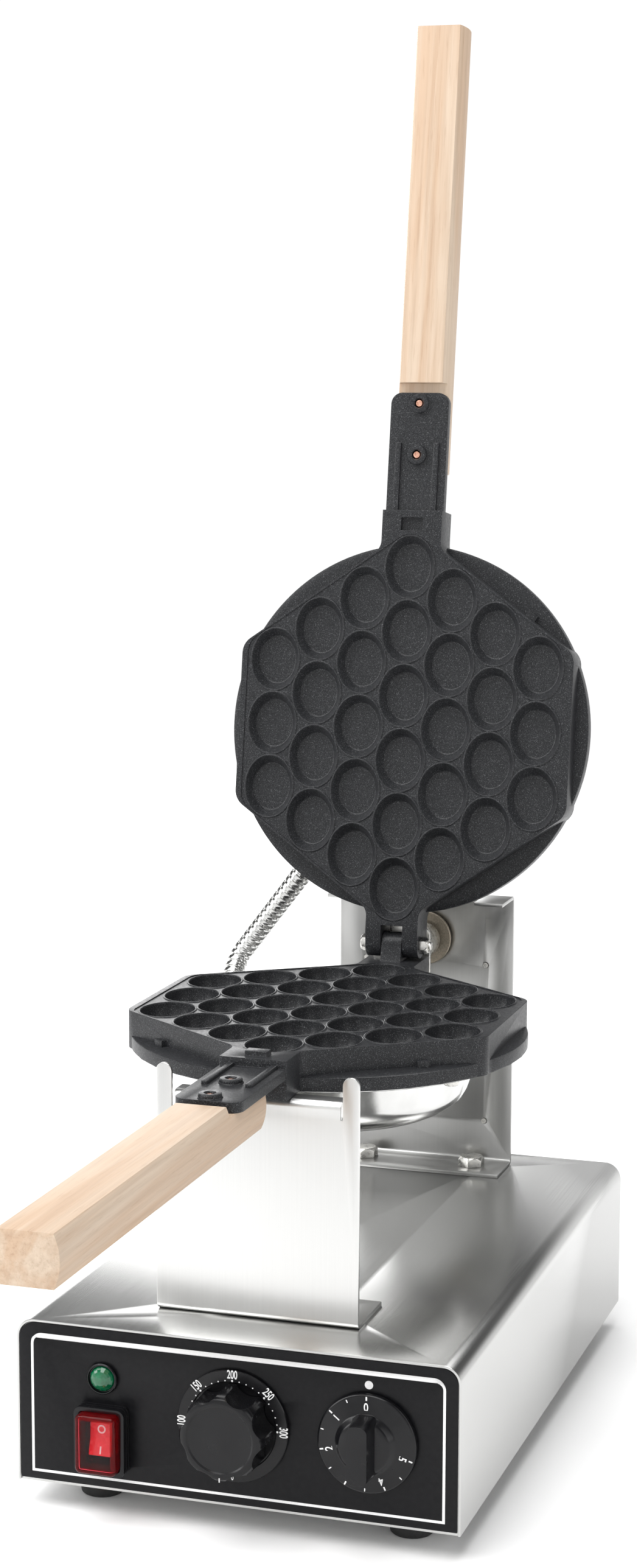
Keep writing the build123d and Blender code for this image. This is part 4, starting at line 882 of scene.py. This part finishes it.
# %% The bands on the line
profile = ((4.4, 0), (4.85, 0), (4.85, 0.24), (5.5, 0.27), (5.95, 0.36), (6.0, 0.48), (5.98, 0.84),
           (5.80, 0.95), (5.35, 1), (4.4, 1))
band = turned("band", [(radius, pitch * along) for radius, along in profile], 28)
place(band, Matrix.Rotation(math.pi / 2, 4, "Y"))
choose(band, "FACE", lambda x, y, z: math.hypot(y, z) < 1.0)
bpy.ops.mesh.delete(type="FACE")
leave()
pick(band)
row = band.modifiers.new("row", "ARRAY")
row.count, row.use_relative_offset, row.use_constant_offset = band_count, False, True
row.constant_offset_displace = (pitch * mm, 0, 0)
bend = band.modifiers.new("bend", "CURVE")
bend.object, bend.deform_axis = line, "POS_X"
bpy.ops.object.modifier_apply(modifier="row")
bpy.ops.object.modifier_apply(modifier="bend")
bpy.data.objects.remove(line)
dress(named(band, "conduit_finished"), banded, 40.0)
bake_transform(band)
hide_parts("conduit")
print("conduit of", len(band.data.polygons), "faces")

# %% [markdown]
# A gland holds each end of the conduit in the side wall of its cover: a collar, a hexagon to turn
# it by, and a sleeve through the wall. It points a little backwards, towards the hinge.

# %% Glands at the ends of the conduit
heading = math.radians(128)
outward = Vector((math.cos(heading), math.sin(heading), 0))
gland_depth, gland_wall, sleeve_inside = -35.5, 71.09, 5.9
sleeve_end = Vector((0, -pan_centre, gland_depth)) + outward * (gland_wall - sleeve_inside)
sleeve = turned("sleeve", [(6.3, 0), (7.5, 0.1), (7.5, 8.6), (9.0, 8.7), (9.0, 14.2), (7.55, 14.4),
                           (7.55, 17.2), (7.2, 17.8), (6.3, 17.9)], 40)
combine(sleeve, place(hexagon_head("gland_hex", 15.2, 5.0), shifted(0, 0, 8.9)), "UNION")
combine(sleeve, turned("sleeve_hole", [(6.2, -5), (6.2, 40)], 40))
place(sleeve, towards(sleeve_end, outward))
both_halves(sleeve, "conduit_gland")

# %% [markdown]
# ## Sheet metal
# The housing, its ends and both brackets are folded sheet. Their CAD shapes are right, so each gets
# a small round on its cut edges, which catches the light as on real sheet. Folding them again from a
# flat plane would only bring the same shape.

# %% Housing, brackets and wire cover
# The front bracket gets the steel with painted light, the rear bracket and wire cover the steel with
# painted shade.
upright = {"front_bracket": steel_painted_light, "rear_bracket": steel_painted_shade, "wire_cover": steel_painted_shade}
for sheet_node, width in (("housing_shell", 0.35), ("front_plate", 0.3), ("front_label", 0.25),
                          ("back_panel", 0.3), ("front_bracket", 0.5), ("rear_bracket", 0.5),
                          ("wire_cover", 0.3)):
    refined(sheet_node, width, 2, 45.0, upright.get(sheet_node))

# %% [markdown]
# Four hexagon bolts hold the brackets down and four small slotted screws hold the wire cover. Each
# fixing is modelled once and copied to its places.

# %% Bolts and screws on the sheet metal
def many(shape, places, node_name):
    """Copies one fixing to all its places, as one piece in a CAD node's stead."""
    copies = [place(twin(shape, f"{node_name}_{i}"), matrix) for i, matrix in enumerate(places)]
    bpy.data.objects.remove(shape)
    stand_in(joined(copies, node_name + "_finished"), node_name)


bolt_head = hexagon_head("bolt", 13.0, 5.3)
combine(bolt_head, turned("stem", [(4.0, -12), (4.0, 0.2)], 24), "UNION")
bracket_foot_top, front_bolts_y, rear_bolts_y = 95.0, -119.0, 150.05 - 13.5
bolt_places = [towards((x, y, bracket_foot_top), (0, 0, 1))
               for x in (-31, 31) for y in (front_bolts_y, rear_bolts_y)]
many(bolt_head, bolt_places, "bracket_bolts")

ear_screw = turned("ear_screw", [(1.5, -3.5), (1.5, 0), (2.8, 0.02), (2.8, 0.5), (2.4, 1.2),
                                 (1.4, 1.6)], 28)
combine(ear_screw, boxed("ear_slot", (-0.35, -3, 1.0), (0.35, 3, 2.5)))
ear_back_y = 153.05
ear_places = [towards((x, ear_back_y, z), (0, 1, 0)) for x in (-34.5, 34.5) for z in (117.0, 206.0)]
many(ear_screw, ear_places, "wire_cover_screws")

# %% [markdown]
# The feet are soft rubber cones, dished under the middle for a screw. The inlet is a moulded bush
# with a flange and a bore for the lead.

# %% Feet and inlet
foot = turned("foot", [(5.5, 7.0), (5.5, 0.6), (6.1, 0.02), (9.6, 0.0), (10.4, 0.8), (11.4, 8.0),
                       (12.0, 12.4), (11.6, 12.98), (3, 12.98)], 56)
foot_places = [shifted(x, y, 0) for x in (-77.5, 77.5) for y in (-142, 142)]
many(foot, foot_places, "feet")

inlet = turned("inlet", [(6.4, -7.0), (6.4, 0.0), (9.6, 0.0), (10.0, 0.5), (9.9, 2.4), (9.3, 3.0),
                         (6.6, 3.1), (6.3, 11.4), (5.7, 12.0)], 48)
combine(inlet, turned("inlet_bore", [(3.6, -10), (3.6, 11.4), (4.3, 12.2)], 40))
stand_in(place(inlet, towards((-70, 172.0, 43.0), (0, 1, 0))), "cable_inlet")

# %% [markdown]
# ## The control panel
# The front is a black printed plate with a white line round it. The thermostat has a fixed scale
# ring with a lobed knob, the timer has a numbered dial with a bar grip, and a green lamp stands
# over a switch in a clear red boot. Only plain numbers and marks are printed on them.

# %% Places and helpers for the front
front_y = -172.0
thermostat_at, timer_at, lamp_at, switch_at = (0, 53.0), (65.0, 53.0), (-65, 68), (-64, 39.6)


def on_front(x, z, out=0.0):
    """Right is +X, up is +Y and out of the panel is +Z, for a piece drawn flat."""
    return shifted(x, front_y - out, z) @ Matrix.Rotation(math.pi / 2, 4, "X")


def around(angle, radius, height=0.0):
    """A place on a dial, turned so that its top points outwards."""
    a = math.radians(angle)
    return (shifted(radius * math.cos(a), radius * math.sin(a), height)
            @ Matrix.Rotation(a - math.pi / 2, 4, "Z"))


def number(text, size, matrix, narrow=0.8):
    """A printed number as a thin raised mesh, drawn a little narrow."""
    deselect()
    bpy.ops.object.text_add()
    letters = bpy.context.object.data
    letters.body, letters.size = text, size * mm
    letters.align_x, letters.align_y = "CENTER", "CENTER"
    letters.extrude, letters.offset = 0.03 * mm, 0.016 * size * mm
    bpy.ops.object.convert(target="MESH")
    return place(bpy.context.object, matrix @ Matrix.Diagonal((narrow, 1, 1, 1)))


def stroke(width, length, matrix):
    """A short printed line with softened corners."""
    piece = boxed("stroke", (-width / 2, -length / 2, -0.03), (width / 2, length / 2, 0.03))
    return place(round_edges(piece, width * 0.3, 2, lambda x, y, z: abs(z) < 0.01), matrix)


def dot(radius, matrix):
    rings = [(radius, -0.03), (radius, 0.02), (radius * 0.9, 0.03)]
    return place(turned("dot", rings, 20), matrix)


print("controls at", thermostat_at, timer_at, lamp_at, switch_at)

# %% [markdown]
# Print is drawn as thin raised mesh, so that it shows from any side. The line round the panel is a
# plate with rounded top corners, less a smaller plate. The choice of edges to round also takes the
# long top edges, a known fault: the top of the line comes out too thick and stands out of and
# behind the panel. Asking also that x is near the half width would leave them out.

# %% Print on the panel
def frame_line(half_width, low, high, corner, line_width):
    """A closed line, rounded along its whole top and square at the bottom."""
    pieces = []
    for inset in (0.0, line_width):
        plate = boxed("line", (-half_width + inset, low + inset, -0.02 - inset),
                      (half_width - inset, high - inset, 0.04 + inset))
        round_edges(plate, corner - inset, 10,
                    lambda x, y, z: abs(z) < 0.3 and y > (low + high) / 2)
        pieces.append(plate)
    return combine(*pieces)


border = frame_line(101.2, 18.3, 86.6, 5.5, 1.25)
index_dot = dot(2.0, shifted(timer_at[0], 79.8, 0.0))
panel_marks = place(joined([border, index_dot], "panel_print"), on_front(0, 0))
complete(panel_marks, white_print, "base")

# %% [markdown]
# The scale ring is a turned ring with its numbers printed on a slightly sloping face. Larger dots
# stand at the numbers and four small dots between them.

# %% Thermostat scale
ring = turned("scale_ring", [(24, 0.0), (26.7, 0.0), (27.0, 0.3), (27.0, 1.75), (26.7, 2.12),
                             (21.5, 2.2), (21.1, 1.9), (21.1, 0.85), (6.0, 0.8)], 96)
stand_in(place(ring, on_front(*thermostat_at)), "thermostat_bezel")
scale = []
for i, text in enumerate(("100", "150", "200", "250", "300")):
    angle = 180 - 45 * i
    scale.append(number(text, 5.7, around(angle, 24.75, 2.2), 0.60))
    scale.append(dot(0.5, around(angle, 21.95, 2.22)))
    if i < 4:
        scale += [dot(0.32, around(angle - 9 * j, 22.0, 2.22)) for j in range(1, 5)]
scale.append(number("0", 3.0, around(-90, 24.6, 2.22)))
scale = place(joined(scale, "thermostat_scale"), on_front(*thermostat_at))
complete(scale, white_print, "base")

# %% [markdown]
# The knob is turned with a soft shoulder, and eight round flutes are cut into its side. Pulling in
# every other group of its vertices would give softer lobes than the real ones, which meet the
# flutes at an edge.

# %% Thermostat knob
knob = turned("knob", [(20.45, 0.0), (20.45, 14.2), (20.1, 16.6), (19.0, 18.3), (17.2, 18.95),
                       (16.2, 18.9), (15.4, 18.3), (8.0, 18.0), (4.0, 18.3), (2.0, 18.4)], 128)
flutes, flute_circle = [], 26.3
for i in range(8):
    flute = turned(f"flute_{i}", [(9.0, -1), (9.0, 15.5), (8.0, 22)], 48)
    a = math.radians(45 * i + 22.5)
    flutes.append(place(flute, shifted(flute_circle * math.cos(a), flute_circle * math.sin(a), 0)))
combine(knob, joined(flutes, "flutes"))
soften(knob, 0.7, 3, 30.0)
on_thermostat = on_front(*thermostat_at, 1.4)
stand_in(place(knob, on_thermostat), "thermostat_knob", angle=40.0)
pointer = place(stroke(0.5, 3.4, around(-90, 18.4, 18.62)), on_thermostat)
complete(named(pointer, "thermostat_pointer"), white_print, "thermostat_dial")

# %% [markdown]
# The timer's dial is a low cone with a bar grip across it. The numbers run backwards round it,
# because the dial turns and the fixed white dot over it is the mark.

# %% Timer
dial = turned("dial", [(23.2, 0.0), (23.6, 0.4), (23.6, 2.2), (23.2, 2.9), (22.4, 3.25), (15.0, 4.0),
                       (14.0, 4.6), (12.6, 7.0), (11.4, 8.0), (4.0, 8.0)], 96)
grip = boxed("grip", (-5.75, -14.5, 2.0), (5.75, 14.5, 19.0))
choose(grip, "VERT", lambda x, y, z: z > 10)
bpy.ops.transform.resize(value=(0.84, 0.95, 1), center_override=(0, 0, 0))
leave()
combine(dial, round_edges(grip, 3.2, 6, lambda x, y, z: abs(x) > 4 and abs(y) > 10), "UNION")
soften(dial, 0.8, 3, 40.0)
on_timer = on_front(*timer_at, 0.6)
stand_in(place(dial, on_timer), "timer_knob", angle=40.0)
minutes = []
for i in range(6):
    angle = 90 + 51 * i
    minutes.append(number(str(i), 5.6, around(angle, 17.6, 3.84)))
    minutes.append(stroke(0.7, 2.3, around(angle, 21.5, 3.38)))
    if i < 5:
        minutes.append(stroke(0.5, 1.8, around(angle + 25.5, 21.4, 3.38)))
minutes = place(joined(minutes, "timer_scale"), on_timer)
complete(minutes, white_print, "timer_dial")

# %% [markdown]
# The pilot lamp is a black rim round a low domed lens with flat facets. A small sphere, cut below
# and flattened, gives the dome, and poking its faces gives the facets.

# %% Lamp
rim = turned("lamp_rim", [(5.3, -22), (5.3, 0), (7.3, 0), (7.6, 0.3), (7.5, 1.4), (7.1, 1.8),
                          (6.7, 1.75), (6.5, 1.2), (6.5, 0.5), (1.0, 0.5)], 48)
stand_in(place(rim, on_front(*lamp_at)), "lamp_body")
deselect()
bpy.ops.mesh.primitive_uv_sphere_add(segments=16, ring_count=14, radius=6.35 * mm)
lens = bpy.context.object
edit(lens, "FACE", "SELECT")
bpy.ops.mesh.bisect(plane_co=(0, 0, 0.4 * mm), plane_no=(0, 0, 1), clear_inner=True, use_fill=True)
bpy.ops.mesh.select_all(action="SELECT")
bpy.ops.transform.resize(value=(1, 1, 0.66), center_override=(0, 0, 0))
bpy.ops.mesh.poke()
leave()
stand_in(place(lens, on_front(*lamp_at, -0.5)), "lamp_lens", angle=2.0)

# %% [markdown]
# The switch sits in a deep bezel with two grooves round it. Each groove is cut by a flat plate with
# a rounded core taken out of it.

# %% Switch bezel
bezel = boxed("bezel", (-12.5, -16.5, 0), (12.5, 16.5, 8.0))
round_edges(bezel, 3.6, 6, lambda x, y, z: abs(x) > 12 and abs(y) > 16)
for low in (2.1, 4.6):
    groove = boxed("groove", (-14, -18, low), (14, 18, low + 0.7))
    combine(groove, boxed("core", (-11.9, -15.9, low - 1), (11.9, 15.9, low + 1.7), 3.0, 4))
    combine(bezel, groove)
well = boxed("well", (-10.45, -14.45, 2.0), (10.45, 14.45, 12.0))
combine(bezel, round_edges(well, 2.5, 5, lambda x, y, z: abs(x) > 10 and abs(y) > 14))
soften(bezel, 0.4, 2, 40.0)
combine(bezel, boxed("switch_block", (-10.0, -13.5, -26.0), (10.0, 13.5, 1.0), 0.4), "UNION")
combine(bezel, boxed("well_low", (-6.5, -11.0, -9.0), (6.5, 11.0, 3.0)))
stand_in(place(bezel, on_front(*switch_at)), "switch_body")

# %% [markdown]
# The splash boot is a hollow cap with rounded edges. Its flat front gets the colourless finish and
# the rest of it the red one, by the place of each face.

# %% Splash boot
cap = boxed("cap", (-10.3, -14.3, 2.0), (10.3, 14.3, 13.5))
round_edges(cap, 2.8, 6, lambda x, y, z: abs(x) > 10 and abs(y) > 14)
round_edges(cap, 1.8, 5, lambda x, y, z: z > 13.4)
choose(cap, "FACE", lambda x, y, z: z > 13.4)
bpy.ops.mesh.inset(thickness=0.9 * mm)
leave()
hollow = boxed("hollow", (-8.9, -12.9, 1.0), (8.9, 12.9, 12.2))
combine(cap, round_edges(hollow, 1.6, 4,
                         lambda x, y, z: (abs(x) > 8 and abs(y) > 12) or z > 12.1))
stand_in(place(cap, on_front(*switch_at)), "splash_boot")
cap.data.materials.append(clear_window)
for face in cap.data.polygons:
    across, out, up = face.center / mm
    face.material_index = int(abs(across - switch_at[0]) < 7.2 and abs(up - switch_at[1]) < 11.2
                              and out < front_y - 12)
print("window of", sum(face.material_index for face in cap.data.polygons), "faces")

# %% [markdown]
# The rocker is a tilted red bar with a white circle and line. The two marks are drawn flat and then
# draped: a ray from the front looks for the rocker's face under each of their points. The hit isn't
# tested, a known fault: a point whose ray misses goes far back into the housing and draws a sliver.

# %% Rocker and its marks
rocker = refined("rocker", 0.5, 3, material=red_rocker)
off_mark = turned("off", [(2.1, -0.03), (2.1, 0.03)], 40)
combine(off_mark, turned("off_hole", [(1.35, -1), (1.35, 1)], 40))
on_mark = boxed("on", (-0.4, -2.3, -0.03), (0.4, 2.3, 0.03))
edit(on_mark, "EDGE", "SELECT")
bpy.ops.mesh.subdivide(number_cuts=3)
leave()
switch_x, switch_z = switch_at
marks = [place(off_mark, on_front(switch_x, switch_z + 5.2)),
         place(on_mark, on_front(switch_x, switch_z - 5.2))]
for mark in marks:
    for point in mark.data.vertices:
        start = Vector((point.co.x, (front_y - 30) * mm, point.co.z))
        spot = rocker.ray_cast(start, Vector((0, 1, 0)))[1]
        point.co.y += spot.y - front_y * mm
complete(joined(marks, "rocker_print"), white_print, "power_rocker")

# %% [markdown]
# ## Stage and light
# A plain pale floor and a white surround, with broad soft lights from both sides and above, as in a
# catalogue picture. Large lights give the steel its long soft gradients, which a small lamp or a sun
# alone would not.

# %% Floor
deselect()
bpy.ops.mesh.primitive_plane_add(size=4.4, location=(0, 0, 0))
floor = named(bpy.context.object, "floor")
floor.data.materials.append(finish("pale_floor", tones((0.93, 0.93, 0.93), (0.95, 0.95, 0.95)),
                                   (0.8, 0.9), (3, 3, 3), bump=0.0))
print("floor", [round(side, 2) for side in floor.dimensions], "m")

# %% Lights
def soft_light(name, location, aim, size, power):
    data = bpy.data.lights.new(name, "AREA")
    data.shape, data.size, data.size_y = "RECTANGLE", *size
    data.energy = power
    lamp = bpy.data.objects.new(name, data)
    lamp.location = location
    lamp.rotation_euler = (Vector(aim) - Vector(location)).to_track_quat("-Z", "Y").to_euler()
    bpy.context.scene.collection.objects.link(lamp)


soft_light("left_panel", (-1.7, -0.9, 1.3), (0, 0, 0.3), (1.0, 1.6), 26)
soft_light("right_panel", (1.9, -0.5, 1.1), (0, 0, 0.3), (1.0, 1.8), 9)
soft_light("top_panel", (0.1, 0.9, 2.0), (0, 0, 0.3), (1.6, 1.0), 20)
soft_light("back_left_panel", (-1.35, 2.1, 0.85), (0, 0, 0.2), (1.4, 1.0), 12)
sun_data = bpy.data.lights.new("soft_sun", "SUN")
sun_data.energy, sun_data.angle = 2.7, math.radians(50)
sun = bpy.data.objects.new("soft_sun", sun_data)
sun.rotation_euler = [math.radians(a) for a in (22, -12, 0)]
bpy.context.scene.collection.objects.link(sun)
print("lights", [light.name for light in bpy.data.lights])

# %% [markdown]
# The surround is white near the horizon and dim overhead, so that upright steel stays bright and
# level steel doesn't burn out. A second term brightens the front, which faces the reader. The
# larger of the two is the strength in each direction.

# %% Surround
world = bpy.data.worlds.new("surround")
world.use_nodes = True
background = world.node_tree.nodes["Background"]
background.inputs["Color"].default_value = (1, 1, 1, 1)
way = add_node(world, "TexCoord")
axes = add_node(world, "SeparateXYZ")
wire(world, way, "Generated", axes, "Vector")
strength = add_node(world, "Math", operation="MAXIMUM")
for term, (axis, start, end, first, last) in enumerate((("Z", 0.12, 0.34, 1.03, 0.10),
                                                        ("Y", -0.95, -0.55, 1.1, 0.0))):
    fade = add_node(world, "MapRange", {"From Min": start, "From Max": end, "To Min": first,
                                        "To Max": last})
    wire(world, axes, axis, fade, "Value")
    wire(world, fade, "Result", strength, term)
wire(world, strength, "Value", background, "Strength")
bpy.context.scene.world = world
bpy.context.scene.view_settings.view_transform = "Standard"
print("surround set")

# %% Import json
import json
